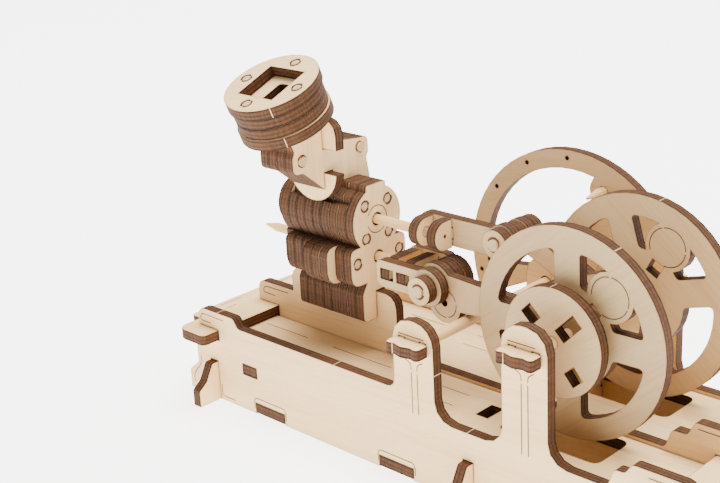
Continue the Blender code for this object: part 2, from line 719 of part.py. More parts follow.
def block_plate(index):
    """One plate of the cylinder: legs astride the pedestal, valve lobe, round cylinder lobe, and on
    the middle plates the neck that leans to the front.  A few plates have a wider valve lobe.  The
    rearmost plates stand clear of the pedestal: a narrower one, then a smaller cap."""
    y = ENGINE_Y
    low = BLOCK_FRONT - PLY - PITCH * index
    name = f"cylinder_plate_{index + 1:02d}"
    if index == BLOCK_PLATES - 1:
        return plate(name, "x", low, cap_outline(), cap_holes())
    slot_half = PLY / 2 + LEG_CLEARANCE
    slot_top = PEDESTAL_TOP + LEG_CLEARANCE
    legs = [(y - slot_half, slot_top), (y - slot_half, LEG_LOW),
            (y - LEG_HALF, LEG_LOW, SMALL_FILLET), (y - LEG_HALF, LEG_SHOULDER_LOW, SMALL_FILLET),
            (y - LEG_SHOULDER_HALF, VALVE_LOBE_LOW)]
    back_legs = mirrored(legs, y)
    valve_half = VALVE_LOBE_HALF
    if CHEST_FIRST <= index < CHEST_FIRST + CHEST_PLATES:
        valve_half = CHEST_HALF
    if index >= LEGGED_PLATES:
        legs, back_legs, valve_half = [], [], SHORT_VALVE_HALF
    waist_drop = math.sqrt(LOBE_RADIUS ** 2 - WAIST_HALF ** 2)
    side = arc((y, PISTON_ROD_Z), LOBE_RADIUS, math.atan2(-waist_drop, -WAIST_HALF), -math.pi, 4)
    front = [(y - valve_half, VALVE_LOBE_LOW, VALVE_LOBE_LOW_FILLET),
             (y - valve_half, WAIST_Z, VALVE_LOBE_FILLET), (y - WAIST_HALF, WAIST_Z)] + side
    back = mirrored(front, y)
    first_neck, last_neck = NECK_FIRST, NECK_FIRST + NECK_PLATES - 1
    notch_back = GUSSET_FRONT + PLY + GAP
    notch_low = GUSSET_LOW - GAP
    notch_front = y - math.sqrt(LOBE_RADIUS ** 2 - (notch_low - PISTON_ROD_Z) ** 2)
    crown = [(y - CROWN_HALF, CROWN_TOP, SMALL_FILLET / 2), (y + CROWN_HALF, CROWN_TOP, SMALL_FILLET / 2)]
    right = lobe_arc(y + CROWN_HALF, y + LOBE_RADIUS)[:-1]
    if first_neck <= index <= last_neck:
        top = lobe_arc(y - LOBE_RADIUS, notch_front)[1:] + [
            (notch_back, notch_low),
            (notch_back, GUSSET_THROAT_LOW + GAP), (GUSSET_FRONT - GAP, GUSSET_THROAT_LOW + GAP),
            (GUSSET_FRONT - GAP, NECK_TIP_Z),
            (NECK_PIN_FRONT, NECK_CHIN, SMALL_FILLET), (NECK_FRONT, NECK_CHIN, NECK_FRONT_FILLET),
            (NECK_FRONT, (NECK_CHIN + NECK_WAIST_Z) / 2 + SMALL_FILLET, SMALL_FILLET),
            (NECK_FRONT + NECK_WAIST_INSET, NECK_WAIST_Z, SMALL_FILLET),
            (NECK_FRONT - NECK_BROW_OUTSET, head_floor(NECK_FRONT - NECK_BROW_OUTSET)),
            (GUSSET_FRONT - GAP, head_floor(GUSSET_FRONT - GAP)),
            (GUSSET_FRONT - GAP, GUSSET_THROAT_HIGH - GAP), (notch_back, GUSSET_THROAT_HIGH - GAP),
            (notch_back, NECK_BACK_TOP), (NECK_PIN_BACK, NECK_BACK_TOP - SMALL_FILLET),
            (NECK_BACK, NECK_BACK_TOP - SMALL_FILLET, NECK_BACK_FILLET),
            (NECK_BACK, NECK_BACK_LOW, SMALL_FILLET),
            (NECK_BACK - NECK_WAIST_INSET, NECK_BACK_LOW - SMALL_FILLET, SMALL_FILLET)]
        right = lobe_arc(NECK_BACK + NECK_FLARE, y + LOBE_RADIUS)[:-1]
    elif index in (first_neck - 1, first_neck - 2, last_neck + 1):
        top = lobe_arc(y - LOBE_RADIUS, notch_front)[1:] + [(notch_back, notch_low)]
        top += lobe_arc(notch_back, y - CROWN_HALF) + crown
    else:
        top = lobe_arc(y - LOBE_RADIUS, y - CROWN_HALF)[1:] + crown
    outline = rounded(legs + front + top + right + back + back_legs)
    return plate(name, "x", low, outline, block_holes(index))


def gusset():
    """C-shaped plate that crosses the neck and keys it to the head."""
    left = GUSSET_X - GUSSET_RADIUS
    back = BLOCK_FRONT - PITCH * (NECK_FIRST + NECK_PLATES)
    heel = math.asin((GUSSET_Z - GUSSET_THROAT_LOW) / GUSSET_RADIUS)
    low = arc((GUSSET_X, GUSSET_Z), GUSSET_RADIUS, math.pi, math.tau - heel, 16)
    outline = low + rounded([
        (back, GUSSET_THROAT_LOW), (back, GUSSET_THROAT_HIGH), (GUSSET_RIGHT, GUSSET_THROAT_HIGH),
        (GUSSET_RIGHT, GUSSET_TOP, GUSSET_FILLET), (left, GUSSET_TOP)])
    return plate("neck_gusset", "y", GUSSET_FRONT, outline)


def cylinder():
    """The stacked cylinder, its neck and its head."""
    for index in range(BLOCK_PLATES):
        block_plate(index)
    gusset()
    pin_start = BLOCK_FRONT - PITCH * (NECK_FIRST + NECK_PLATES) + GAP
    pin_end = BLOCK_FRONT - PITCH * NECK_FIRST + STICK_PROUD
    for name, place in zip(("neck_pin_front", "neck_pin_back"), neck_pin_places()):
        sticks(name, "x", [place], [(pin_start, STICK_RADIUS), (pin_end, STICK_RADIUS)])
    r = HEAD_PIN_RADIUS
    head_pins = [(r, 0.0), (0.0, r), (-r, 0.0), (0.0, -r)]
    for index, share in enumerate(HEAD_DISC_SHARES):
        half = HEAD_SQUARE_HALF
        socket = box(-half, -half, half, half)
        if index:
            u, v, r = HEAD_SLOT_HALF_X, HEAD_SLOT_HALF_Y, HEAD_SLOT_FILLET
            socket = rounded([(-u, -v, r), (u, -v, r), (u, v, r), (-u, v, r)])
        holes = [socket] + [circle(place, STICK_RADIUS + GAP / 2, 12) for place in head_pins]
        depth = PITCH * index + PLY / 2
        rim = circle((0.0, 0.0), HEAD_RADIUS * share, WHEEL_STEPS)
        plate(f"head_disc_{index + 1}", "z", 0.0, rim, holes, colour=PALE_BIRCH, frame=head_frame(depth))


def meeting_angle(radius, distance, reach):
    """Angle, seen from the hub, between a far point and where a circle about the hub meets the
    circle of radius reach about that point."""
    return math.acos((distance ** 2 + radius ** 2 - reach ** 2) / (2 * distance * radius))


def flywheel_window(start, end):
    """Window between two spokes, from the hub to the ring."""
    edges = [math.asin(WHEEL_SPOKE_HALF / radius) for radius in (WHEEL_RING_INNER, WHEEL_HUB_RADIUS)]
    outer = arc((0.0, 0.0), WHEEL_RING_INNER, start + edges[0], end - edges[0], 10)
    inner = arc((0.0, 0.0), WHEEL_HUB_RADIUS, end - edges[1], start + edges[1], 6)
    for side in (outer, inner):
        for place in (0, -1):
            side[place] = (*side[place], WHEEL_WINDOW_FILLET)
    return rounded(outer + inner)


def boss_window():
    """Three-cornered window between the upright spoke, the ring and the round boss."""
    boss = (WHEEL_BOSS_AT * math.cos(math.pi / 4), WHEEL_BOSS_AT * math.sin(math.pi / 4))
    ends = []
    for radius in (WHEEL_RING_INNER, WHEEL_HUB_RADIUS):
        angle = math.pi / 4 + meeting_angle(radius, WHEEL_BOSS_AT, WHEEL_BOSS_RADIUS)
        point = (radius * math.cos(angle), radius * math.sin(angle))
        ends.append((angle, math.atan2(point[1] - boss[1], point[0] - boss[0]) % math.tau))
    spoke_end = math.pi / 2 - math.asin(WHEEL_SPOKE_HALF / WHEEL_RING_INNER)
    ring = arc((0.0, 0.0), WHEEL_RING_INNER, spoke_end, ends[0][0], 4)
    side = arc(boss, WHEEL_BOSS_RADIUS, ends[0][1], ends[1][1], 5)
    foot = (WHEEL_SPOKE_HALF, math.sqrt(WHEEL_HUB_RADIUS ** 2 - WHEEL_SPOKE_HALF ** 2))
    corners = [(*foot, WHEEL_WINDOW_FILLET), (*ring[0], WHEEL_WINDOW_FILLET)] + ring[1:] + side[1:]
    return rounded(corners)


def flywheel_outline(centre, turn):
    """Rim circle and holes of a flywheel.  Three quarters are open windows, and the quarter at
    the upper right has a round boss between two small windows, with a square slot under it."""
    quarter = math.pi / 2
    small = boss_window()
    slot = box(WHEEL_SLOT_AT - WHEEL_SLOT_HALF_LENGTH, -CRANK_SLOT_HALF_WIDTH,
               WHEEL_SLOT_AT + WHEEL_SLOT_HALF_LENGTH, CRANK_SLOT_HALF_WIDTH)
    holes = [flywheel_window(quarter * i, quarter * (i + 1)) for i in (1, 2, 3)]
    holes += [small, [(v, u) for u, v in reversed(small)], turned(slot, (0.0, 0.0), quarter / 2)]
    holes.append(circle((0.0, 0.0), DOWEL_RADIUS + GAP / 2))
    rim = circle((0.0, 0.0), WHEEL_RADIUS, WHEEL_STEPS)
    placed = [[(centre[0] + u, centre[1] + v) for u, v in turned(ring, (0.0, 0.0), turn)]
              for ring in [rim] + holes]
    return placed[0], placed[1:]


def crank_plate(name, low, radius, holes=(), steps=CIRCLE_STEPS, centre=None):
    """Round plate threaded on the crank axle."""
    axis = (CRANK_AXLE_X, CRANK_AXLE_Z)
    bore = circle(axis, DOWEL_RADIUS + GAP / 2, 12)
    return plate(name, "y", low, circle(centre or axis, radius, steps), [bore, *holes], pivot=axis)


def crank_direction():
    """Direction from the crank axle to the piston's pin."""
    return math.atan2(LINK_PIN_Z - CRANK_AXLE_Z, LINK_PIN_X - CRANK_AXLE_X)


def crankshaft():
    """The crank axle and all that turns with it."""
    axis = (CRANK_AXLE_X, CRANK_AXLE_Z)
    sticks("crank_axle", "y", [axis], [(GAP, DOWEL_RADIUS), (BASE_DEPTH - GAP, DOWEL_RADIUS)],
           steps=16)
    slots = []
    for turn, (near, far) in zip(CRANK_SLOT_ANGLES, CRANK_SLOT_SHARES):
        slot = box(CRANK_AXLE_X + CRANK_DISC_RADIUS * near, CRANK_AXLE_Z - CRANK_SLOT_HALF_WIDTH,
                   CRANK_AXLE_X + CRANK_DISC_RADIUS * far, CRANK_AXLE_Z + CRANK_SLOT_HALF_WIDTH)
        slots.append(turned(slot, axis, turn))
    crank_plate("crank_disc", CRANK_DISC_FRONT, CRANK_DISC_RADIUS, slots, WHEEL_STEPS)
    for name, low, turn in (("front_flywheel", FRONT_WHEEL_FRONT, FRONT_WHEEL_TURN),
                            ("rear_flywheel", REAR_WHEEL_FRONT, REAR_WHEEL_TURN)):
        rim, holes = flywheel_outline(axis, turn)
        plate(name, "y", low, rim, holes, pivot=axis, colour=PALE_BIRCH)
    towards_valve = math.atan2(VALVE_PIN_Z - CRANK_AXLE_Z, VALVE_PIN_X - CRANK_AXLE_X)
    offset = (CRANK_AXLE_X + ECCENTRIC_OFFSET * math.cos(towards_valve),
              CRANK_AXLE_Z + ECCENTRIC_OFFSET * math.sin(towards_valve))
    crank_plate("valve_eccentric", VALVE_LINK_FRONT, ECCENTRIC_RADIUS, centre=offset)
    pin = (CRANK_AXLE_X + CRANK_THROW * math.cos(crank_direction()),
           CRANK_AXLE_Z + CRANK_THROW * math.sin(crank_direction()))
    pin_bore = circle(pin, DOWEL_RADIUS + GAP / 2, 12)
    crank_plate("crank_web", ROD_FRONT - PITCH, WEB_RADIUS, [pin_bore], WHEEL_STEPS // 2)
    collared_pin("crank_pin", pin, ROD_FRONT - PITCH, [ROD_FRONT + PITCH], COLLAR_RADIUS)
    tubes = [(VALVE_LINK_FRONT + PITCH, ROD_FRONT - PITCH - GAP),
             (ROD_FRONT + 2 * PITCH, REAR_WHEEL_FRONT - GAP)]
    for name, (start, end) in zip(("front_spacer_tube", "rear_spacer_tube"), tubes):
        spacer_tube(name, axis, start, end)


def collared_pin(name, place, start, discs, radius):
    """Dowel along Y with round discs, each one sheet thick, glued on it.  It ends with the last."""
    profile = [(start, DOWEL_RADIUS)]
    for low in discs:
        profile += [(low, DOWEL_RADIUS), (low, radius), (low + PLY, radius), (low + PLY, DOWEL_RADIUS)]
    return sticks(name, "y", [place], profile[:-1], steps=16)


def spacer_tube(name, axis, start, end):
    """Wooden sleeve on the crank axle."""
    outline = circle(axis, HUB_RADIUS)
    item = plate(name, "y", start, outline, [circle(axis, DOWEL_RADIUS + GAP / 2, 12)], pivot=axis)
    item.data.extrude = (end - start) / 2
    item.location.y = (start + end) / 2
    return item


def hand_wheel():
    """The hand wheel, its axle and its handle."""
    axis = (HAND_AXLE_X, HAND_AXLE_Z)
    end = HAND_WHEEL_FRONT + PLY + STICK_PROUD
    sticks("hand_axle", "y", [axis], [(GAP, DOWEL_RADIUS), (end, DOWEL_RADIUS)], steps=16)
    handle = (HAND_AXLE_X + HANDLE_RADIUS_AT * math.cos(HANDLE_ANGLE),
              HAND_AXLE_Z + HANDLE_RADIUS_AT * math.sin(HANDLE_ANGLE))
    start, stop = HAND_WHEEL_HIGH_WINDOW
    bump_start = math.atan2(axis[1] + HAND_WHEEL_RING_INNER * math.sin(stop) - handle[1],
                            axis[0] + HAND_WHEEL_RING_INNER * math.cos(stop) - handle[0])
    high = arc(axis, HAND_WHEEL_RING_INNER, start, stop, 16)
    high += arc(handle, HANDLE_BUMP_RADIUS, bump_start, HANDLE_BUMP_END, 5)[1:]
    high += arc(axis, HAND_WHEEL_HUB_RADIUS, stop, start, 7)
    start, stop = HAND_WHEEL_LOW_WINDOW
    low = arc(axis, HAND_WHEEL_RING_INNER, start, stop, 18) + arc(axis, HAND_WHEEL_HUB_RADIUS, stop, start, 8)
    holes = [high, low, circle(axis, DOWEL_RADIUS + GAP / 2, 12), circle(handle, STICK_RADIUS + GAP / 2, 12)]
    for i in range(HAND_WHEEL_HOLES):
        angle = HAND_WHEEL_HOLE_FIRST + HAND_WHEEL_HOLE_STEP * i
        place = (HAND_AXLE_X + HAND_WHEEL_HOLE_PITCH * math.cos(angle),
                 HAND_AXLE_Z + HAND_WHEEL_HOLE_PITCH * math.sin(angle))
        holes.append(circle(place, HAND_WHEEL_HOLE_RADIUS, 8))
    rim = circle(axis, HAND_WHEEL_RADIUS, HAND_WHEEL_STEPS)
    plate("hand_wheel", "y", HAND_WHEEL_FRONT, rim, holes, pivot=axis)
    profile = [(HANDLE_TIP, STICK_TIP_RADIUS), (HANDLE_TIP + STICK_TIP_LENGTH, STICK_RADIUS),
               (end, STICK_RADIUS)]
    sticks("wheel_handle", "y", [handle], profile)


def crosshead_outline():
    """Outline of a guide plate on the piston rod: a half disc towards the front, straight to the
    link bar, and a tenon through the bar."""
    y, z, r = ENGINE_Y, PISTON_ROD_Z, CROSSHEAD_RADIUS
    half = LINK_TENON_HALF
    return arc((y, z), r, math.pi / 2, 3 * math.pi / 2, 14) + [
        (LINK_FRONT - GAP, z - r), (LINK_FRONT - GAP, z - half), (LINK_FRONT + PLY, z - half),
        (LINK_FRONT + PLY, z + half), (LINK_FRONT - GAP, z + half), (LINK_FRONT - GAP, z + r)]


def piston_line():
    """Piston, rod, crossheads and link bar, which slide together."""
    rod = (ENGINE_Y, PISTON_ROD_Z)
    rod_end = CROSSHEAD_FIRST + PLY
    profile = [(PISTON_FRONT - PISTON_LENGTH - PLY, STICK_RADIUS), (rod_end, STICK_RADIUS)]
    sticks("piston_rod", "x", [rod], profile, steps=16)
    piston = plate("piston", "x", PISTON_FRONT - PISTON_LENGTH, circle(rod, PISTON_RADIUS),
                   [circle(rod, STICK_RADIUS + GAP / 2, 12)])
    piston.data.extrude = PISTON_LENGTH / 2
    piston.location.x = PISTON_FRONT - PISTON_LENGTH / 2
    outline = crosshead_outline()
    plate("front_crosshead", "x", CROSSHEAD_FIRST, outline, [circle(rod, STICK_RADIUS + GAP / 2, 12)])
    plate("rear_crosshead", "x", CROSSHEAD_SECOND, outline, [circle(rod, CROSSHEAD_HOLE_RADIUS, 8)])
    pin = (LINK_PIN_X, LINK_PIN_Z)
    shoulder = math.pi - math.asin((LINK_TOP - LINK_PIN_Z) / LINK_END_RADIUS)
    outline = rounded([
        (LINK_LEFT, LINK_TOP, LINK_FILLET), (LINK_LEFT, LINK_LOW, LINK_FILLET),
        (LINK_PIN_X, LINK_LOW, LINK_FILLET),
        *arc(pin, LINK_END_RADIUS, LINK_HEEL_ANGLE, shoulder, 12)])
    half = LINK_TENON_HALF + GAP
    mortises = [box(x - GAP, PISTON_ROD_Z - half, x + PLY + GAP, PISTON_ROD_Z + half)
                for x in (CROSSHEAD_FIRST, CROSSHEAD_SECOND)]
    bore = circle(pin, DOWEL_RADIUS + GAP / 2, 12)
    plate("link_bar", "y", LINK_FRONT, outline, [bore, *mortises], pivot=pin)
    plate("link_washer", "y", LINK_FRONT - PITCH, circle(pin, WASHER_RADIUS), [bore], pivot=pin)
    discs = [LINK_FRONT + PITCH, ROD_FRONT + PITCH]
    collared_pin("link_pin", pin, LINK_FRONT - PITCH - STICK_PROUD, discs, REAR_WASHER_RADIUS)


def jaw_outline(eye, eye_radius, target, half, jaw_half, clearance):
    """Outline of a rod from an eye towards a target axis, ending in a hollow arc about the target."""
    length = math.dist(eye, target)
    angle = math.atan2(target[1] - eye[1], target[0] - eye[0])
    wide = math.asin(jaw_half / clearance)
    hollow = arc((length, 0.0), clearance, math.pi + wide, math.pi - wide, 6)
    jaw_left = length - clearance - jaw_half
    eye_reach = math.asin(half / eye_radius)
    lower = [(jaw_left - jaw_half, -half), (jaw_left, -jaw_half)]
    upper = [(jaw_left, jaw_half), (jaw_left - jaw_half, half)]
    ring = arc((0.0, 0.0), eye_radius, eye_reach, math.tau - eye_reach, 16)
    points = lower + hollow + upper + ring
    return [(eye[0] + u, eye[1] + v) for u, v in turned(points, (0.0, 0.0), angle)]


def connecting_rod():
    """Rod from the link pin towards the crank pin."""
    eye = (LINK_PIN_X, LINK_PIN_Z)
    reach = CRANK_THROW + DOWEL_RADIUS + JAW_CLEARANCE
    axis = (CRANK_AXLE_X, CRANK_AXLE_Z)
    outline = jaw_outline(eye, ROD_EYE_RADIUS, axis, ROD_HALF_WIDTH, ROD_JAW_HALF, reach)
    bore = circle(eye, DOWEL_RADIUS + BORE_CLEARANCE)
    plate("connecting_rod", "y", ROD_FRONT, outline, [bore], pivot=eye)


def valve_line():
    """Valve rod, its cage of cheeks and cross plates, and the valve link."""
    rod = (ENGINE_Y, VALVE_ROD_Z)
    sticks("valve_rod", "x", [rod], [
        (VALVE_ROD_BACK, STICK_TIP_RADIUS), (VALVE_ROD_BACK + STICK_TIP_LENGTH, STICK_RADIUS),
        (VALVE_CROSS_SECOND + PLY, STICK_RADIUS)])
    rear_bar = 2 * ENGINE_Y - VALVE_BAR_FRONT - PLY
    pin = (VALVE_PIN_X, VALVE_PIN_Z)
    bore = circle(pin, DOWEL_RADIUS + GAP / 2, 12)
    middle = (VALVE_BAR_LOW + VALVE_BAR_TOP) / 2
    half = VALVE_TENON_HALF + GAP
    mortises = [box(x - GAP, middle - half, x + PLY + VALVE_MORTISE_PLAY, middle + half)
                for x in (VALVE_CROSS_FIRST, VALVE_CROSS_SECOND)]
    heel = math.asin((VALVE_PIN_Z - VALVE_BAR_LOW) / VALVE_EYE_RADIUS) - math.pi
    shoulder = math.pi - math.asin((VALVE_BAR_TOP - VALVE_PIN_Z) / VALVE_EYE_RADIUS)
    left = [(VALVE_BAR_LEFT, VALVE_BAR_TOP, LINK_FILLET), (VALVE_BAR_LEFT, VALVE_BAR_LOW, LINK_FILLET)]
    right_end = VALVE_CROSS_SECOND + PLY + VALVE_MORTISE_PLAY + VALVE_END_MARGIN
    right = [(right_end, VALVE_BAR_LOW, LINK_FILLET), (right_end, VALVE_BAR_TOP, LINK_FILLET)]
    eye = arc(pin, VALVE_EYE_RADIUS, heel, shoulder, 16)
    plate("front_valve_cheek", "y", VALVE_BAR_FRONT, rounded(left + eye), [bore, *mortises], pivot=pin)
    plate("rear_valve_cheek", "y", rear_bar, rounded(left + right), mortises, pivot=pin)
    inner_front, inner_back = VALVE_BAR_FRONT + PITCH, rear_bar - GAP
    for name, low in (("front_valve_cross", VALVE_CROSS_FIRST), ("rear_valve_cross", VALVE_CROSS_SECOND)):
        tenon, wide = VALVE_TENON_HALF, VALVE_CROSS_HALF_Z
        side = [(inner_front, middle - wide, VALVE_CROSS_FILLET), (inner_front, middle - tenon),
                (VALVE_BAR_FRONT, middle - tenon), (VALVE_BAR_FRONT, middle + tenon),
                (inner_front, middle + tenon), (inner_front, middle + wide, VALVE_CROSS_FILLET)]
        outline = rounded(side + mirrored(side, (inner_front + inner_back) / 2))
        plate(name, "x", low, outline, [circle(rod, STICK_RADIUS + GAP / 2, 12)])
    plate("valve_washer", "y", VALVE_BAR_FRONT - PITCH, circle(pin, VALVE_WASHER_RADIUS), [bore], pivot=pin)
    valve_pin(pin)
    valve_link(pin)


def valve_pin(pin):
    """Dowel with the discs that hold the link against the front cheek, as one turned solid."""
    profile = [(VALVE_BAR_FRONT - PITCH - STICK_PROUD, DOWEL_RADIUS)]
    for number in range(1, VALVE_DISCS + 1):
        low = VALVE_LINK_FRONT + PITCH * number
        profile += [(low, DOWEL_RADIUS), (low, VALVE_DISC_RADIUS), (low + PLY, VALVE_DISC_RADIUS),
                    (low + PLY, DOWEL_RADIUS)]
    profile.append((VALVE_LINK_FRONT + PITCH * (VALVE_DISCS + 1) + STICK_PROUD, DOWEL_RADIUS))
    return sticks("valve_pin", "y", [pin], profile, steps=24)


def valve_link(pin):
    """Plate from the valve pin to the eccentric, with a round lobe below its pin."""
    lobe = (VALVE_LINK_LOBE_X, VALVE_LINK_LOBE_Z)
    axis = (CRANK_AXLE_X, CRANK_AXLE_Z)
    eye, lobe_radius = VALVE_LINK_EYE_RADIUS, VALVE_LINK_LOBE_RADIUS
    span = math.dist(pin, lobe)
    towards = math.atan2(lobe[1] - pin[1], lobe[0] - pin[0])
    eye_turn = math.acos((eye ** 2 + span ** 2 - lobe_radius ** 2) / (2 * eye * span))
    lobe_turn = math.acos((lobe_radius ** 2 + span ** 2 - eye ** 2) / (2 * lobe_radius * span))
    outline = arc(pin, eye, VALVE_LINK_ARM_ANGLE, towards - eye_turn + math.tau, 14)
    outline += arc(lobe, lobe_radius, towards + lobe_turn - math.pi, VALVE_LINK_LOBE_END, 12)[1:]
    reach = ECCENTRIC_OFFSET + ECCENTRIC_RADIUS + VALVE_JAW_CLEARANCE
    wide = math.asin(VALVE_LINK_JAW_HALF / reach)
    outline += [(VALVE_LINK_BEND_X, VALVE_LINK_BEND_Z)]
    outline += arc(axis, reach, math.pi + wide, math.pi - wide, 4)
    bore = circle(pin, DOWEL_RADIUS + BORE_CLEARANCE)
    hole = circle(lobe, VALVE_LINK_HOLE_RADIUS, 12)
    plate("valve_link", "y", VALVE_LINK_FRONT, outline, [bore, hole], pivot=pin)


def settle():
    """Moves the engine so that the origin lies on the foot of the front panel, mid-thickness."""
    for item in bpy.data.objects:
        item.location.y -= PLY / 2


def main():
    """Builds the whole engine."""
    clear_scene()
    base()
    cylinder()
    crankshaft()
    hand_wheel()
    piston_line()
    connecting_rod()
    valve_line()
    settle()


main()
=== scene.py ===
"""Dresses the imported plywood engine: veneer and burnt edges on every sheet piece, wooden pins,
engraved lines, the marks where pieces were snapped out of their sheet, a stage, light and a camera.
Places are written in millimetres as drawn on the sheets, with the front panel's face at y = 0."""

import json
import math

import bpy
import numpy as np
from mathutils import Matrix

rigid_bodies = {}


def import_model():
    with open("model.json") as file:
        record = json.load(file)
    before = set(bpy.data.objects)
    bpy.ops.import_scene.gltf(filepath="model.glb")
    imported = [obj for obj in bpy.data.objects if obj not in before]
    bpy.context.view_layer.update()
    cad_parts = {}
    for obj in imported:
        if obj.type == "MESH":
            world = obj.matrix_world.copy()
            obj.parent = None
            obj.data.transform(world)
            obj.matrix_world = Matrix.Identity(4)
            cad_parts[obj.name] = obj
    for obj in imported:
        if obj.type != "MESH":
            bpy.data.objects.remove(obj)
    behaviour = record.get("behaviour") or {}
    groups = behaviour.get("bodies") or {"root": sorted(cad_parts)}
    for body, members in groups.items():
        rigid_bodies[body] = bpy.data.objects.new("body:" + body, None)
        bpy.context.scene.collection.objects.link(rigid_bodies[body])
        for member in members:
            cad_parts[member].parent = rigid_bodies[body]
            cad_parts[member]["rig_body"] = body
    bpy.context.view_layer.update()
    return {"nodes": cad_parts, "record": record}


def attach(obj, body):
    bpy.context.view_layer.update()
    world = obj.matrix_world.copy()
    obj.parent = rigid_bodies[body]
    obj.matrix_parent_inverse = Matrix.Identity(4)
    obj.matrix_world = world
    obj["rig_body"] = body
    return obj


bl_info = {
    "name": "Plywood engine finish",
    "version": (1, 0, 0),
    "blender": (4, 5, 0),
    "location": "3D View > Sidebar > Engine",
    "description": "Veneer, burnt edges, pins and engraving for a flat-packed engine model",
    "category": "Object",
}

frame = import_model()

MM = 0.001
SHEET = 2.75
PITCH = 3.0
GAP = PITCH - SHEET
SHIFT = np.array([0.0, -SHEET / 2, 0.0])
PROUD = 0.016
LINE_PROUD = 0.03
FACE_ALIGNMENT = 0.7

HEAD_TILT = math.radians(22.0)
HEAD_DISCS = 4
HEAD_RADIUS = 12.4
HEAD_PIN_CIRCLE = 9.1
HEAD_TOP = np.array([24.625, 4.375, 91.8])
ENGINE_Y = 23.775
PISTON_Z = 54.2
BLOCK_FRONT = 39.5
BLOCK_BACK = 9.75
# Plates in front of the neck plates
NECK_FIRST = 3
# Pins of the block, as (distance from the middle plane, height); the low pair starts a plate later
BLOCK_PINS = [(-4.2, 58.6), (4.2, 58.6), (-4.2, 49.8), (4.2, 49.8), (-7.8, 44.0), (7.8, 44.0)]
LOW_PIN_Z = 44.0
NECK_PINS = [(7.4, 72.0), (28.0, 70.9)]
# Washers, as (node, place of the pin, front face)
WASHERS = (("link_washer", (77.8, 55.3), 23.675), ("valve_washer", (62.7, 43.1), 13.0))

# Twice the place of the middle of the base, which mirrors its left end to its right end
MIRROR = 139.4
BASE_DEPTH = 54.4
SPINE_FRONT = 22.4
DECK_TOP = 17.75
TOP_PLATE_TOP = 20.75
VALVE_LINK_FRONT = 19.0
VALVE_LINK_LOBE = (65.8, 39.0)

CRANK_AXIS = (104.65, 42.2)
CRANK_DISC_RADIUS = 13.1
# Flywheels, as (node, turn of the hole in degrees, front face)
FLYWHEELS = (("front_flywheel", 1.0, 16.0), ("rear_flywheel", 16.0, 44.0))
FLYWHEEL_RADIUS = 25.4
FLYWHEEL_HOLE_CIRCLE = 15.9
FLYWHEEL_RING_RADIUS = 4.77
HAND_AXIS = (72.1, 35.5)
HAND_WHEEL_RADIUS = 32.9

# Half width of a snapped mark and how far its ends stay from the faces
MARK_HALF = 0.11
MARK_MARGIN = 0.05

# Azimuth, elevation and roll in degrees, and the camera's place
CAMERA_TURN = (45.0, 19.8, 3.05)
CAMERA_PLACE = np.array([268.037, -211.310, 166.262])

# Sheet directions: across, up and through the sheet
LAYS = {
    "x": np.array([[0.0, 1.0, 0.0], [0.0, 0.0, 1.0], [1.0, 0.0, 0.0]]),
    "y": np.array([[1.0, 0.0, 0.0], [0.0, 0.0, 1.0], [0.0, 1.0, 0.0]]),
    "z": np.array([[1.0, 0.0, 0.0], [0.0, 1.0, 0.0], [0.0, 0.0, 1.0]]),
    "head": np.array([[1.0, 0.0, 0.0],
                      [0.0, math.cos(HEAD_TILT), math.sin(HEAD_TILT)],
                      [0.0, -math.sin(HEAD_TILT), math.cos(HEAD_TILT)]]),
}

# Each sheet node's lay and the direction of its veneer grain, in degrees
BLOCK_NODES = [f"cylinder_plate_{i:02d}" for i in range(1, 11)]
SHEETS = {name: ("x", 90.0) for name in BLOCK_NODES + [
    "left_cross_frame", "middle_cross_frame", "right_cross_frame", "front_crosshead",
    "rear_crosshead", "front_valve_cross", "rear_valve_cross", "piston"]}
SHEETS.update({name: ("y", angle) for name, angle in (
    ("front_panel", 3.0), ("rear_panel", -2.0), ("spine_panel", 2.0), ("neck_gusset", 80.0),
    ("crank_disc", 35.0), ("crank_web", 20.0), ("front_flywheel", 38.0), ("rear_flywheel", -40.0),
    ("valve_eccentric", 10.0), ("hand_wheel", 8.0), ("link_bar", 4.0), ("link_washer", 50.0),
    ("connecting_rod", -20.0), ("front_valve_cheek", 2.0),
    ("rear_valve_cheek", 0.0), ("valve_washer", 70.0), ("valve_link", 60.0),
    ("front_spacer_tube", 0.0), ("rear_spacer_tube", 0.0))})
SHEETS.update({name: ("z", angle) for name, angle in (
    ("floor_plate", 2.0), ("front_deck", 4.0), ("rear_deck", -3.0), ("tie_bar", 90.0),
    ("left_top_plate", 88.0), ("right_top_plate", 92.0), ("hand_axle_clip", 5.0),
    ("front_crank_clip", -4.0), ("rear_crank_clip", 0.0))})
SHEETS.update({f"head_disc_{i}": ("head", 12.0 * i) for i in range(1, HEAD_DISCS + 1)})

STICKS = {"crank_axle": "y", "hand_axle": "y", "wheel_handle": "y", "piston_rod": "x",
          "valve_rod": "x", "neck_pin_front": "x", "neck_pin_back": "x"}
# Faces that lie against the next plate, as (node, side); their border strip is brown all across, as painted
# shade in the gap between the plates
GAP_SHADE_FACES = {(name, side) for name in BLOCK_NODES for side in (1.0, -1.0)
                if side < 0 or name[-2:] not in ("01", "03", "04")}
GAP_SHADE_FACES |= {(f"head_disc_{i}", side) for i in range(1, HEAD_DISCS + 1) for side in (1.0, -1.0)
                 if (i, side) not in ((1, 1.0), (HEAD_DISCS, 1.0))}

# Pins with turned discs, with the place of the first disc's front along the pin
COLLARED = {"crank_pin": 35.7, "link_pin": 35.7, "valve_pin": 22.0}
PIN_CORE = 1.5
PIN_PROUD = 0.06
PIN_ARC = 0.5

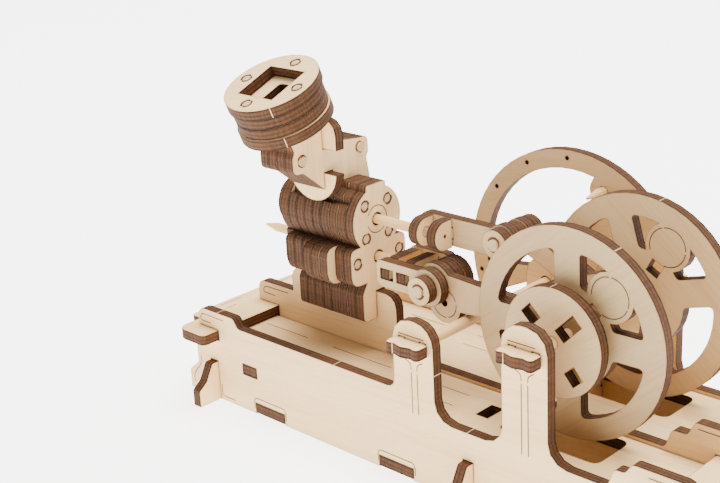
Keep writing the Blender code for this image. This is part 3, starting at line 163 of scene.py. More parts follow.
# Share of the veneer's brightness on sheets that are darker than the rest
TONES = {"front_flywheel": 0.56, "rear_flywheel": 0.74, "hand_wheel": 0.72, "crank_disc": 0.60,
         "front_deck": 0.92, "rear_deck": 0.92, "link_bar": 0.68, "rear_panel": 0.85,
         "front_valve_cheek": 0.66, "link_washer": 0.70, "valve_washer": 0.80, "valve_link": 0.68,
         "spine_panel": 0.86}


class SheetFinish(bpy.types.PropertyGroup):
    """Colours and small sizes of the plywood."""
    veneer: bpy.props.FloatVectorProperty(
        name="Veneer", description="Pale birch of the sheet faces", subtype="COLOR", size=3,
        default=(0.94, 0.66, 0.33), min=0.0, max=1.0)
    figure: bpy.props.FloatVectorProperty(
        name="Figure", description="Warmer streaks in the veneer", subtype="COLOR", size=3,
        default=(0.76, 0.44, 0.18), min=0.0, max=1.0)
    scorch: bpy.props.FloatVectorProperty(
        name="Scorch", description="Brown of a laser-cut edge", subtype="COLOR", size=3,
        default=(0.060, 0.023, 0.007), min=0.0, max=1.0)
    char: bpy.props.FloatVectorProperty(
        name="Char", description="Darkest layer of a laser-cut edge", subtype="COLOR", size=3,
        default=(0.012, 0.006, 0.004), min=0.0, max=1.0)
    singe: bpy.props.FloatVectorProperty(
        name="Singe", description="Golden line where a face meets a burnt edge", subtype="COLOR",
        size=3, default=(0.50, 0.25, 0.08), min=0.0, max=1.0)
    border: bpy.props.FloatProperty(
        name="Border", description="Width of the golden line, in metres", subtype="DISTANCE",
        unit="LENGTH", default=0.00030, min=0.0001, max=0.002)
    line: bpy.props.FloatProperty(
        name="Line", description="Width of an engraved line, in metres", subtype="DISTANCE",
        unit="LENGTH", default=0.00027, min=0.00005, max=0.001)


class StickFinish(bpy.types.PropertyGroup):
    """Colours and sizes of the round sticks and pins."""
    wood: bpy.props.FloatVectorProperty(
        name="Stick", description="Colour of a bare round stick", subtype="COLOR", size=3,
        default=(0.80, 0.50, 0.22), min=0.0, max=1.0)
    end: bpy.props.FloatVectorProperty(
        name="End grain", description="Colour of a cut stick end", subtype="COLOR", size=3,
        default=(0.70, 0.49, 0.28), min=0.0, max=1.0)
    pin_radius: bpy.props.FloatProperty(
        name="Pin radius", description="Radius of a toothpick pin, in metres", subtype="DISTANCE",
        unit="LENGTH", default=0.00125, min=0.0005, max=0.002)


class StageLook(bpy.types.PropertyGroup):
    """Floor, light and camera."""
    floor: bpy.props.FloatVectorProperty(
        name="Floor", description="Colour of the studio floor", subtype="COLOR", size=3,
        default=(0.93, 0.93, 0.94), min=0.0, max=1.0)
    glow: bpy.props.FloatProperty(
        name="Table glow", description="Light that the photo table gives off by itself",
        default=3.4, min=0.0, max=20.0)
    lens: bpy.props.FloatProperty(
        name="Lens", description="Focal length in millimetres, on a sensor 36 mm wide",
        default=67.65, min=10.0, max=300.0)
    key: bpy.props.FloatProperty(
        name="Key light", description="Power of the main soft light, in watts", unit="POWER",
        default=122.0, min=0.0, max=1000.0)


class Field:
    """A value in a material's tree, so that shader maths reads as plain expressions."""

    def __init__(self, recipe, socket):
        self.recipe = recipe
        self.socket = socket

    def math(self, operation, *values):
        return self.recipe.math(operation, *values)

    def __add__(self, other):
        return self.math("ADD", self, other)

    def __sub__(self, other):
        return self.math("SUBTRACT", self, other)

    def __rsub__(self, other):
        return self.math("SUBTRACT", other, self)

    def __mul__(self, other):
        return self.math("MULTIPLY", self, other)

    def __truediv__(self, other):
        return self.math("DIVIDE", self, other)

    def __abs__(self):
        return self.math("ABSOLUTE", self)

    __radd__ = __add__
    __rmul__ = __mul__


class Recipe:
    """One material's node tree."""

    def __init__(self, name):
        self.material = bpy.data.materials.new(name)
        self.material.use_nodes = True
        self.tree = self.material.node_tree
        self.shader = self.tree.nodes["Principled BSDF"]

    def add(self, kind, settings=None, values=None, output=0):
        """A node of that kind: settings first, then the values or links of its sockets."""
        node = self.tree.nodes.new(kind)
        for key, value in (settings or {}).items():
            if key != "stops":
                setattr(node, key, value)
                continue
            ramp = node.color_ramp
            while len(ramp.elements) < len(value):
                ramp.elements.new(1.0)
            for element, (place, colour) in zip(ramp.elements, value):
                element.position = place
                element.color = (*colour, 1.0)
        for key, value in (values or {}).items():
            self.feed(node.inputs[key], value)
        return Field(self, node.outputs[output])

    def feed(self, socket, value):
        """Links a field to a socket, or sets the socket's own value."""
        if isinstance(value, Field):
            self.tree.links.new(value.socket, socket)
        elif isinstance(value, (tuple, list)) and socket.type == "RGBA":
            socket.default_value = (*value[:3], 1.0)
        else:
            socket.default_value = value

    def mix(self, factor, first, second):
        """Colour between two colours."""
        return self.add("ShaderNodeMix", {"data_type": "RGBA"}, {0: factor, 6: first, 7: second}, 2)

    def math(self, operation, *values):
        return self.add("ShaderNodeMath", {"operation": operation}, dict(enumerate(values)))

    def over(self, value, limit):
        """One where a value lies above the limit, else zero."""
        return self.math("GREATER_THAN", value, limit)

    def noise(self, place, detail=2.0, roughness=0.5, scale=1.0):
        return self.add("ShaderNodeTexNoise", {}, {
            "Vector": place, "Scale": scale, "Detail": detail, "Roughness": roughness})

    def point(self, x, y, z):
        return self.add("ShaderNodeCombineXYZ", {}, {0: x, 1: y, 2: z})

    def along(self, vector, direction):
        """Length of a vector along a direction."""
        return self.add("ShaderNodeVectorMath", {"operation": "DOT_PRODUCT"},
                        {0: vector, 1: tuple(float(v) for v in direction)}, 1)

    def ramp(self, value, stops):
        return self.add("ShaderNodeValToRGB", {"stops": stops}, {0: value})

    def finish(self, colour, roughness, height=None, depth=0.00006, strength=0.5):
        """Feeds the shader and returns the material."""
        self.feed(self.shader.inputs["Base Color"], colour)
        self.feed(self.shader.inputs["Roughness"], roughness)
        self.shader.inputs["Specular IOR Level"].default_value = 0.28
        if height is not None:
            bump = self.add("ShaderNodeBump", {}, {
                "Strength": strength, "Distance": depth, "Height": height})
            self.feed(self.shader.inputs["Normal"], bump)
        return self.material


def shade_steps(colour, share):
    """A colour darkened or lightened by a share."""
    return tuple(min(1.0, channel * share) for channel in colour)


def plywood(name, lay, low, thickness, grain, seed, tone=1.0, core=None):
    """Laser-cut plywood.  Faces turned along the sheet's normal show veneer: long fibres, warm
    streaks and pores, stretched along the grain.  All other faces show the burnt cut: layers by
    depth through the sheet, with fine stripes that run across it."""
    finish = bpy.context.scene.sheet_finish
    recipe = Recipe(name)
    across, up, through = LAYS[lay]
    place = recipe.add("ShaderNodeTexCoord", output="Object")
    normal = recipe.add("ShaderNodeTexCoord", output="Normal")
    u = recipe.along(place, across / MM)
    v = recipe.along(place, up / MM)
    depth = (recipe.along(place, through / MM) - low + 0.02) / thickness
    depth = recipe.math("FLOORED_MODULO", depth, PITCH / thickness)
    c, s = math.cos(math.radians(grain)), math.sin(math.radians(grain))
    fibre = u * c + v * s
    width = v * c - u * s
    drift = recipe.noise(recipe.point(fibre * 0.035, width * 0.05, seed), 1.0)
    bent = width + drift * 3.0
    broad = recipe.noise(recipe.point(fibre * 0.010, bent * 0.16, seed + 3.1), 2.0)
    streak = recipe.noise(recipe.point(fibre * 0.022, bent * 0.85, seed + 7.7), 3.0, 0.6)
    hair = recipe.noise(recipe.point(fibre * 0.11, bent * 5.5, seed + 1.3), 2.0, 0.6)
    pore = recipe.noise(recipe.point(fibre * 0.55, bent * 7.0, seed + 5.9), 1.0)
    veneer, figure = shade_steps(finish.veneer, tone), shade_steps(finish.figure, tone)
    warm = recipe.ramp(broad, [(0.42, (0.0,) * 3), (0.70, (1.0,) * 3)])
    line = recipe.ramp(streak, [(0.54, (0.0,) * 3), (0.66, (1.0,) * 3)])
    colour = recipe.mix(warm * 0.35, veneer, figure)
    colour = recipe.mix(line * 0.28, colour, figure)
    hairs = recipe.ramp(hair, [(0.35, (1.0,) * 3), (0.62, (0.0,) * 3)])
    colour = recipe.mix(hairs * 0.20, colour, shade_steps(figure, 0.80))
    dots = recipe.ramp(pore, [(0.66, (0.0,) * 3), (0.74, (1.0,) * 3)])
    colour = recipe.mix(dots * 0.28, colour, shade_steps(figure, 0.55))
    # The singe attribute gives the golden line and real scorch at each outline, and painted shade across the
    # strip on faces against the next plate
    singe_and_gap_shade = recipe.add("ShaderNodeAttribute", {"attribute_name": "singe"}, output="Fac")
    golden = recipe.ramp(singe_and_gap_shade, [(0.0, (0.0,) * 3), (0.45, (0.35,) * 3), (0.8, (1.0,) * 3)])
    colour = recipe.mix(golden * 0.85, colour, tuple(finish.singe))
    # Brown: real scorch at the outline, and painted shade in the gap all across the strip on faces against
    # the next plate
    brown = recipe.ramp(singe_and_gap_shade, [(0.62, (0.0,) * 3), (1.0, (1.0,) * 3)])
    face_colour = recipe.mix(brown * 0.75, colour, tuple(finish.scorch))

    scorch, char = tuple(finish.scorch), tuple(finish.char)
    lighter = shade_steps(scorch, 1.75)
    wobble = recipe.noise(recipe.point(u * 0.22, v * 0.22, seed), 2.0)
    layer = depth + (wobble - 0.5) * 0.16
    edge = recipe.ramp(layer, [
        (0.0, char), (0.10, char), (0.17, scorch), (0.30, lighter), (0.42, scorch),
        (0.48, shade_steps(char, 2.2)),
        (0.55, scorch), (0.72, lighter), (0.86, scorch), (0.92, char)])
    patch = recipe.noise(recipe.point(u * 0.16, v * 0.16, seed + 9.0), 2.0)
    patchy = recipe.ramp(patch, [(0.40, (0.0,) * 3), (0.68, (1.0,) * 3)])
    edge = recipe.mix(patchy * 0.45, edge, shade_steps(scorch, 1.5))
    stripe = recipe.noise(recipe.point(u * 2.6, v * 2.6, depth * 0.7), 2.0, 0.7)
    stripes = recipe.ramp(stripe, [(0.35, (0.60,) * 3), (0.65, (1.25,) * 3)])
    edge = recipe.add("ShaderNodeMix", {"data_type": "RGBA", "blend_type": "MULTIPLY"},
                      {0: 0.75, 6: edge, 7: stripes}, 2)

    on_face = recipe.over(abs(recipe.along(normal, through)), FACE_ALIGNMENT)
    colour = recipe.mix(on_face, edge, face_colour)
    if core is not None:
        aside, above = u - float(core[0]), v - float(core[1])
        wood = bpy.context.scene.stick_finish
        stick = recipe.mix(on_face, tuple(wood.wood), tuple(wood.end))
        stick = recipe.mix(hairs * 0.3, stick, shade_steps(wood.wood, 0.5))
        colour = recipe.mix(recipe.over(aside * aside + above * above, PIN_CORE ** 2), stick, colour)
    rough = 0.80 - on_face * 0.22 + hair * 0.06
    height = on_face * (hair * 0.5 - dots * 0.5) + (1.0 - on_face) * (stripe * 1.3)
    return recipe.finish(colour, rough, height, 0.00005, 0.45)


def stick_wood(name, axis, seed):
    """Bare turned wood: fibres along the stick, and end grain on the faces across it."""
    finish = bpy.context.scene.stick_finish
    recipe = Recipe(name)
    across, up, through = LAYS[axis]
    place = recipe.add("ShaderNodeTexCoord", output="Object")
    normal = recipe.add("ShaderNodeTexCoord", output="Normal")
    u = recipe.along(place, across / MM)
    v = recipe.along(place, up / MM)
    w = recipe.along(place, through / MM)
    fibre = recipe.noise(recipe.point(u * 3.2, v * 3.2, w * 0.09 + seed), 3.0, 0.6)
    dark = recipe.ramp(fibre, [(0.38, (1.0,) * 3), (0.66, (0.0,) * 3)])
    colour = recipe.mix(dark * 0.35, tuple(finish.wood), shade_steps(finish.wood, 0.62))
    grain = recipe.noise(recipe.point(u * 4.5, v * 4.5, seed), 2.0, 0.7)
    dots = recipe.ramp(grain, [(0.45, (0.0,) * 3), (0.60, (1.0,) * 3)])
    end = recipe.mix(dots * 0.55, tuple(finish.end), shade_steps(finish.end, 0.40))
    on_end = recipe.over(abs(recipe.along(normal, through)), FACE_ALIGNMENT)
    colour = recipe.mix(on_end, colour, end)
    return recipe.finish(colour, 0.58 + on_end * 0.2, fibre, 0.00005, 0.4)


def engraving(name, colour, spread=0.35):
    """Scorched groove: one dark brown, mottled along its length."""
    recipe = Recipe(name)
    place = recipe.add("ShaderNodeTexCoord", output="Object")
    mottle = recipe.noise(place, 2.0, 0.6, 900.0)
    shade = recipe.ramp(mottle, [(0.35, (0.0,) * 3), (0.70, (1.0,) * 3)])
    return recipe.finish(recipe.mix(shade * spread, colour, shade_steps(colour, 3.2)), 0.85, mottle)


def mesh_piece(name, points, faces, body, material, slot, singe=None):
    """A mesh from arrays of points in millimetres and of corner indices, riding on a body."""
    mesh = bpy.data.meshes.new(name)
    points = np.asarray(points, float) * MM
    faces = np.asarray(faces, np.int32)
    mesh.vertices.add(len(points))
    mesh.vertices.foreach_set("co", points.astype(np.float32).ravel())
    mesh.loops.add(faces.size)
    mesh.loops.foreach_set("vertex_index", faces.ravel())
    mesh.polygons.add(len(faces))
    mesh.polygons.foreach_set("loop_start", np.arange(len(faces), dtype=np.int32) * faces.shape[1])
    mesh.update(calc_edges=True)
    if singe is not None:
        mesh.attributes.new("singe", "FLOAT", "POINT").data.foreach_set("value", singe.astype(np.float32))
    mesh.materials.append(material)
    piece = bpy.data.objects.new(name, mesh)
    bpy.context.scene.collection.objects.link(piece)
    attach(piece, body)
    return piece


def grid_faces(rows, columns, closed=False):
    """Corner indices of the quads of a grid; a closed grid joins its last row to its first."""
    i, j = np.meshgrid(np.arange(rows if closed else rows - 1), np.arange(columns - 1), indexing="ij")
    i, j = i.ravel(), j.ravel()
    k = (i + 1) % rows
    return np.stack([i * columns + j, k * columns + j, k * columns + j + 1, i * columns + j + 1], 1)


def joined(parts):
    """Points and faces of several meshes as one."""
    points = np.concatenate([p for p, _ in parts])
    starts = np.cumsum([0] + [len(p) for p, _ in parts[:-1]])
    return points, np.concatenate([f + start for (_, f), start in zip(parts, starts)])


def body_of(node):
    """Body that a node rides on."""
    return frame["nodes"][node]["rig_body"]


def slot_of(node):
    """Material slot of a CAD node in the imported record."""
    for row in frame["record"].get("subparts", []):
        if row["node"] == node:
            return row["material_slot"]
    return "birch_ply"


def corners(node):
    """Merged corners of a CAD node in millimetres and its triangles."""
    mesh = frame["nodes"][node].data
    co = np.empty(len(mesh.vertices) * 3, np.float32)
    mesh.vertices.foreach_get("co", co)
    mesh.calc_loop_triangles()
    triangles = np.empty(len(mesh.loop_triangles) * 3, np.int32)
    mesh.loop_triangles.foreach_get("vertices", triangles)
    co = np.round(co.reshape(-1, 3).astype(float) / MM, 3)
    merged, index = np.unique(co, axis=0, return_inverse=True)
    return merged, index.ravel()[triangles.reshape(-1, 3)]


def face_outline(node, side):
    """Directed outline edges of a node's face on one side of its sheet, as start and end indices.
    An edge is on the outline where only one triangle of the face uses it."""
    points, triangles = corners(node)
    through = LAYS[SHEETS[node][0]][2]
    a, b, c = (points[triangles[:, i]] for i in range(3))
    normal = np.cross(b - a, c - a)
    size = np.linalg.norm(normal, axis=1)
    keep = (normal @ through) * side > 0.95 * np.maximum(size, 1e-12)
    level = points @ through * side
    top = level[triangles[keep]].min(1) > level.max() - 0.05
    chosen = triangles[keep][top]
    edges = np.concatenate([chosen[:, [0, 1]], chosen[:, [1, 2]], chosen[:, [2, 0]]])
    code = edges[:, 0].astype(np.int64) * len(points) + edges[:, 1]
    back = edges[:, 1].astype(np.int64) * len(points) + edges[:, 0]
    return points, edges[~np.isin(code, back)]


def border(node, material):
    """Golden line along every outline of both faces; on faces that lie against the next plate the strip is
    brown all across, as painted shade in the gap.  Each outline point is carried inwards along the mean of
    its two edges' inward directions, lengthened so that the strip keeps its width."""
    width = bpy.context.scene.sheet_finish.border / MM
    through = LAYS[SHEETS[node][0]][2]
    parts, singe_and_gap_shade_values = [], []
    for side in (1.0, -1.0):
        points, edges = face_outline(node, side)
        if not len(edges):
            continue
        order = np.argsort(edges[:, 0], kind="stable")
        edges = edges[order]
        following = np.searchsorted(edges[:, 0], edges[:, 1])
        start, end = points[edges[:, 0]], points[edges[:, 1]]
        run = end - start
        length = np.linalg.norm(run, axis=1, keepdims=True)
        inward = np.cross(through * side, run / np.maximum(length, 1e-9))
        ahead = inward[following]
        mean = inward + ahead
        mean = mean / np.maximum(1.0 + (inward * ahead).sum(1, keepdims=True), 0.35)
        inner_end = end + mean * width
        inner_start = np.empty_like(inner_end)
        inner_start[following] = inner_end
        lift = through * side * PROUD
        count = len(edges)
        # On faces against the next plate the whole strip gets the full singe value: painted shade in the gap
        # between the plates
        inner = 1.0 if (node, side) in GAP_SHADE_FACES else 0.0
        quad = np.concatenate([start + lift, end + lift, inner_end + lift, inner_start + lift])
        index = np.arange(count)
        parts.append((quad, np.stack([index, index + count, index + 2 * count, index + 3 * count], 1)))
        singe_and_gap_shade_values.append(np.concatenate([np.ones(2 * count), np.full(2 * count, inner)]))
    points, faces = joined(parts)
    mesh_piece(f"{node}_border", points, faces, body_of(node), material, slot_of(node),
               np.concatenate(singe_and_gap_shade_values))


def arc(centre, radius, start, end, steps=24):
    """Points of an arc, angles in degrees."""
    angle = np.radians(np.linspace(start, end, steps + 1))
    return np.stack([centre[0] + radius * np.cos(angle), centre[1] + radius * np.sin(angle)], 1)


def pin_arcs(place, turn, radius=1.42):
    """Two short arcs cut round a pin hole, opposite each other."""
    return [arc(place, radius, turn + half, turn + half + 120.0, 10) for half in (0.0, 180.0)]


def polar(centre, radius, *angles):
    """Places on a circle at the given angles in degrees."""
    turns = np.radians(angles)
    return [(centre[0] + radius * c, centre[1] + radius * s) for c, s in zip(np.cos(turns), np.sin(turns))]


def flat(point, lay):
    """Place of a point, or of an array of points, on a sheet: its lengths across and up."""
    across, up, _ = LAYS[lay]
    return np.stack([point @ across, point @ up], -1)


def ribbon(path, lay, level, side, width, proud=LINE_PROUD):
    """Flat strip along a drawn path: each path point moves half the width to either side, along the
    mean of its neighbours' normals, and the strip stands a hair above the face at that level."""
    across, up, through = LAYS[lay]
    path = np.asarray(path, float)
    run = np.gradient(path, axis=0)
    run /= np.maximum(np.linalg.norm(run, axis=1, keepdims=True), 1e-9)
    out = np.stack([-run[:, 1], run[:, 0]], 1) * width / 2
    ends = np.zeros_like(path)
    ends[0], ends[-1] = -run[0] * width / 2, run[-1] * width / 2
    flip = side if lay != "y" else -side
    rows = np.stack([path + ends + out * flip, path + ends - out * flip], 1).reshape(-1, 2)
    points = rows[:, :1] * across + rows[:, 1:] * up + through * (level + side * proud)
    return points, grid_faces(len(path), 2)


def head_place(u, v, depth):
    """Point on the head at a depth under its top face."""
    across, up, through = LAYS["head"]
    return HEAD_TOP + u * across + v * up - through * depth


def smooth_path(points, radius=0.5, steps=4):
    """Path through points with each inner corner rounded: a quadratic curve between the two
    places that lie the given distance before and after the corner."""
    points = np.asarray(points, float)
    out = [points[:1]]
    for before, here, after in zip(points[:-2], points[1:-1], points[2:]):
        first = here + (before - here) * min(0.5, radius / np.linalg.norm(before - here))
        last = here + (after - here) * min(0.5, radius / np.linalg.norm(after - here))
        t = np.linspace(0.0, 1.0, steps + 1)[:, None]
        out.append(first * (1 - t) ** 2 + 2 * here * t * (1 - t) + last * t ** 2)
    out.append(points[-1:])
    return np.concatenate(out)


def dressed_lines(name, node, lay, level, side, paths, material, width=None):
    """Engraved lines on one face of a node, as one piece."""
    width = width or bpy.context.scene.sheet_finish.line / MM
    parts = [ribbon(path, lay, level, side, width) for path in paths]
    points, faces = joined(parts)
    if lay != "head":
        points = points + SHIFT
    mesh_piece(name, points, faces, body_of(node), material, slot_of(node))


def lathe(axis, centre, profile, steps=20):
    """Round rod: a profile of (place along the axis, radius) turned about the axis, with closed
    ends because the first and last radius are zero."""
    across, up, through = LAYS[axis]
    along, radius = np.asarray(profile, float).T
    angle = np.linspace(0.0, math.tau, steps, endpoint=False)[:, None]
    ring = np.cos(angle)[:, :, None] * across + np.sin(angle)[:, :, None] * up
    points = centre + ring * radius[None, :, None] + through * along[None, :, None]
    faces = grid_faces(steps, len(along), closed=True)
    if np.dot(np.cross(across, up), through) < 0:
        faces = faces[:, ::-1]
    return points.reshape(-1, 3), faces


def pin_profile(start, end, radius):
    """Profile of a toothpick pin that was snipped off: flat ends with a small rounded rim."""
    rim = radius * 0.22
    return [(start, 0.0), (start, radius - rim), (start + rim, radius),
            (end - rim, radius), (end, radius - rim), (end, 0.0)]


def solid_rod(name, body, axis, centre, profile, material, steps=20):
    """A lathe piece as an object of its own."""
    points, faces = lathe(axis, centre, profile, steps)
    piece = mesh_piece(name, points, faces, body, material, "stick_wood")
    piece.data.polygons.foreach_set("use_smooth", np.ones(len(faces), bool))
    piece.data.set_sharp_from_angle(angle=math.radians(35.0))
    return piece


class ENGINE_OT_sheets(bpy.types.Operator):
    """Gives every plywood piece its veneer and burnt edges, with a golden line along each outline"""
    bl_idname = "engine.sheets"
    bl_label = "Plywood sheets"

    def execute(self, context):
        for seed, (node, (lay, grain)) in enumerate(sorted(SHEETS.items())):
            points, _ = corners(node)
            level = points @ LAYS[lay][2]
            thickness = min(SHEET, float(level.max() - level.min()))
            material = plywood(f"plywood_{node}", lay, float(level.min()), thickness, grain, seed * 4.37,
                               TONES.get(node, 1.0))
            target = frame["nodes"][node]
            target.data.materials.clear()
            target.data.materials.append(material)
            border(node, material)
        return {"FINISHED"}


class ENGINE_OT_sticks(bpy.types.Operator):
    """Gives the axles, rods, pins and the handle their turned wood"""
    bl_idname = "engine.sticks"
    bl_label = "Round sticks"

    def execute(self, context):
        for seed, (node, axis) in enumerate(sorted(STICKS.items())):
            target = frame["nodes"][node]
            target.data.materials.clear()
            target.data.materials.append(stick_wood(f"stick_{node}", axis, seed * 2.9))
        for seed, (node, low) in enumerate(COLLARED.items()):
            target = frame["nodes"][node]
            points, _ = corners(node)
            middle = (points.max(0) + points.min(0))[[0, 2]] / 2
            target.data.materials.clear()
            target.data.materials.append(
                plywood(f"collar_{node}", "y", low + SHIFT[1], SHEET, 40.0, 90.0 + seed, 0.8, middle))
        return {"FINISHED"}


class ENGINE_OT_pins(bpy.types.Operator):
    """Adds the toothpick pins of the cylinder and the head, with the cut arcs round each of them"""
    bl_idname = "engine.pins"
    bl_label = "Toothpick pins"

    def execute(self, context):
        radius = context.scene.stick_finish.pin_radius / MM
        wood = stick_wood("pin_wood_x", "x", 3.0)
        head_wood = stick_wood("pin_wood_head", "head", 5.0)
        dark = engraving("pin_arcs", (0.085, 0.040, 0.020))
        arcs = []
        for number, (aside, z) in enumerate(BLOCK_PINS):
            y = ENGINE_Y + aside
            centre = np.array([0.0, y, z]) + SHIFT
            back = BLOCK_BACK + PITCH * (1 if z > LOW_PIN_Z else 2) + 0.05
            profile = pin_profile(back, BLOCK_FRONT + PIN_PROUD, radius)
            solid_rod(f"cylinder_pin_{number + 1}", "frame", "x", centre, profile, wood)
            arcs += pin_arcs((y, z), 20.0 + 50.0 * number)
        neck_arcs = [path for number, place in enumerate(NECK_PINS)
                     for path in pin_arcs(place, 30.0 + 60.0 * number)]
        level = BLOCK_FRONT + PIN_PROUD
        dressed_lines("cylinder_pin_arcs", "cylinder_plate_01", "x", level, 1.0, arcs, dark, PIN_ARC)
        level -= NECK_FIRST * PITCH
        dressed_lines("neck_pin_arcs", "cylinder_plate_04", "x", level, 1.0, neck_arcs, dark, PIN_ARC)
        for node, place, level in WASHERS:
            dressed_lines(f"{node}_arcs", node, "y", level, -1.0, pin_arcs(place, 35.0, 1.8), dark, PIN_ARC)
        through = LAYS["head"][2]
        head_arcs = []
        for number in range(4):
            angle = math.pi / 2 * number
            u, v = HEAD_PIN_CIRCLE * math.cos(angle), HEAD_PIN_CIRCLE * math.sin(angle)
            height = HEAD_DISCS * PITCH - GAP
            foot = head_place(u, v, height) + SHIFT
            profile = pin_profile(0.2, height + PIN_PROUD, radius)
            solid_rod(f"head_pin_{number + 1}", "frame", "head", foot, profile, head_wood)
            head_arcs += pin_arcs((u, v), 70.0 + 12.0 * number)
        origin = HEAD_TOP + SHIFT
        shifted = [path + flat(origin, "head") for path in head_arcs]
        level = origin @ through + PIN_PROUD
        dressed_lines("head_pin_arcs", "head_disc_1", "head", level, 1.0, shifted, dark, PIN_ARC)
        return {"FINISHED"}


def bridge_marks(name, node, marks, material):
    """Pale stubs where the piece was held in its sheet: a narrow strip across the cut edge, at the
    outline point nearest each drawn place, standing a hair proud along the outward direction."""
    points, edges = face_outline(node, 1.0)
    lay = SHEETS[node][0]
    through = LAYS[lay][2]
    start, end = points[edges[:, 0]], points[edges[:, 1]]
    run = (end - start) / np.maximum(np.linalg.norm(end - start, axis=1, keepdims=True), 1e-9)
    outward = -np.cross(through, run)
    flat_start = flat(start, lay)
    line = flat(end, lay) - flat_start
    square = np.maximum((line ** 2).sum(1), 1e-9)
    origin = flat(HEAD_TOP + SHIFT if lay == "head" else SHIFT, lay)
    low = MARK_MARGIN - SHEET
    reach = np.array([[-MARK_HALF, -MARK_MARGIN], [MARK_HALF, -MARK_MARGIN], [MARK_HALF, low],
                      [-MARK_HALF, low]])
    parts = []
    for place in marks:
        spot = np.asarray(place, float) + origin
        share = np.clip(((spot - flat_start) * line).sum(1) / square, 0.08, 0.92)
        near = flat_start + line * share[:, None]
        best = int(np.argmin(((near - spot) ** 2).sum(1)))
        centre = start[best] + (end[best] - start[best]) * share[best] + outward[best] * LINE_PROUD
        quad = centre + reach[:, :1] * run[best] + reach[:, 1:] * through
        parts.append((quad, np.array([[0, 3, 2, 1]])))
    points, faces = joined(parts)
    mesh_piece(name, points, faces, body_of(node), material, slot_of(node))


class ENGINE_OT_engraving(bpy.types.Operator):
    """Draws the engraved lines of the panels, decks, wheels and the cylinder"""
    bl_idname = "engine.engraving"
    bl_label = "Engraved lines"

    def execute(self, context):
        dark = engraving("engraved_line", (0.070, 0.036, 0.022))
        hook = smooth_path([(2.9, 24.3), (-6.2, 24.4), (-6.9, 22.3), (-2.5, 22.3)], 1.1)
        foot = smooth_path([(0.0, 4.4), (0.0, 1.2), (5.2, 1.2)], 1.0)
        flare = smooth_path([(-8.2, 10.9), (-8.3, 8.4), (-11.9, 4.6), (-11.9, 2.2)], 1.6)
        panel = [hook, foot, flare]
        for left in (14.0, 59.7, 105.4):
            tab = [(left - 0.6, 1.6), (left - 0.6, 4.7), (left + 11.7, 4.7), (left + 11.7, 1.6)]
            panel.append(smooth_path(tab, 1.3))
        for centre, top, low in ((72.35, 29.0, 18.6), (104.75, 35.8, 18.7)):
            panel += [[(centre - 0.9, top), (centre - 0.9, low)], [(centre + 0.9, top), (centre + 0.9, low)]]
            left = [(centre - 0.9, top + 0.9), (centre - 1.0, top + 2.4), (centre - 2.8, top + 3.2)]
            right = [(centre + 0.9, top + 0.9), (centre + 1.0, top + 2.4), (centre + 2.6, top + 3.3)]
            panel += [smooth_path(left, 1.5), smooth_path(right, 1.5)]
        panel += [[(67.9, 38.4), (75.6, 38.4)], [(100.2, 45.3), (107.6, 45.3)]]
        mirrored = [np.array([MIRROR, 0.0]) + np.asarray(path) * np.array([-1.0, 1.0])
                    for path in (hook, foot, flare)]
        dressed_lines("front_panel_lines", "front_panel", "y", 0.0, -1.0, panel + mirrored, dark)
        dressed_lines("rear_panel_lines", "rear_panel", "y", BASE_DEPTH, 1.0, panel + mirrored, dark)
        spine_hook = smooth_path([(4.9, 25.6), (-5.0, 25.5), (-5.7, 23.6), (-0.8, 23.5)], 1.1)
        right_hook = np.array([MIRROR, 0.0]) + spine_hook * np.array([-1.0, 1.0])
        hooks = [spine_hook, right_hook]
        dressed_lines("spine_lines", "spine_panel", "y", SPINE_FRONT, -1.0, hooks, dark)
        front = [[(2.0, 16.3), (18.2, 16.3)], [(28.3, 16.3), (49.2, 16.3)], [(66.7, 16.4), (75.2, 16.4)],
                 [(66.0, 9.9), (75.4, 9.9)], [(10.0, 9.9), (24.0, 9.9)]]
        dressed_lines("front_deck_lines", "front_deck", "z", DECK_TOP, 1.0, front, dark)
        rear = [[(54.3, 39.2), (62.3, 39.2)], [(54.0, 45.6), (66.2, 45.6)], [(30.0, 45.6), (43.8, 45.6)],
                [(8.0, 39.2), (26.0, 39.2)], [(125.5, 39.2), (134.0, 39.2)]]
        dressed_lines("rear_deck_lines", "rear_deck", "z", DECK_TOP, 1.0, rear, dark)
        top = [[(-12.9, 12.5), (-12.9, 20.0)], [(-10.0, 12.0), (-10.0, 15.6)],
               [(-12.9, 34.4), (-12.9, 41.9)], [(-10.0, 38.8), (-10.0, 42.4)]]
        dressed_lines("left_top_lines", "left_top_plate", "z", TOP_PLATE_TOP, 1.0, top, dark)
        right = [[(MIRROR - u, v) for u, v in path] for path in top]
        dressed_lines("right_top_lines", "right_top_plate", "z", TOP_PLATE_TOP, 1.0, right, dark)
        gland = [arc((ENGINE_Y, PISTON_Z), 3.6, 200.0, 512.0, 40)]
        dressed_lines("cylinder_gland_line", "cylinder_plate_01", "x", BLOCK_FRONT, 1.0, gland, dark)
        for node, turn, level in FLYWHEELS:
            centre = polar(CRANK_AXIS, FLYWHEEL_HOLE_CIRCLE, 45.0 + turn)[0]
            ring = [arc(centre, FLYWHEEL_RING_RADIUS, start + turn, start + turn + sweep, 18)
                    for start, sweep in ((95.0, 85.0), (-15.0, 100.0), (-115.0, 90.0))]
            dressed_lines(f"{node}_lines", node, "y", level, -1.0, ring, dark)
        starts = (-160.0, -70.0, 20.0, 110.0)
        rings = [arc(VALVE_LINK_LOBE, 3.7, start, start + 75.0, 12) for start in starts]
        dressed_lines("valve_link_lines", "valve_link", "y", VALVE_LINK_FRONT, -1.0, rings, dark)
        return {"FINISHED"}


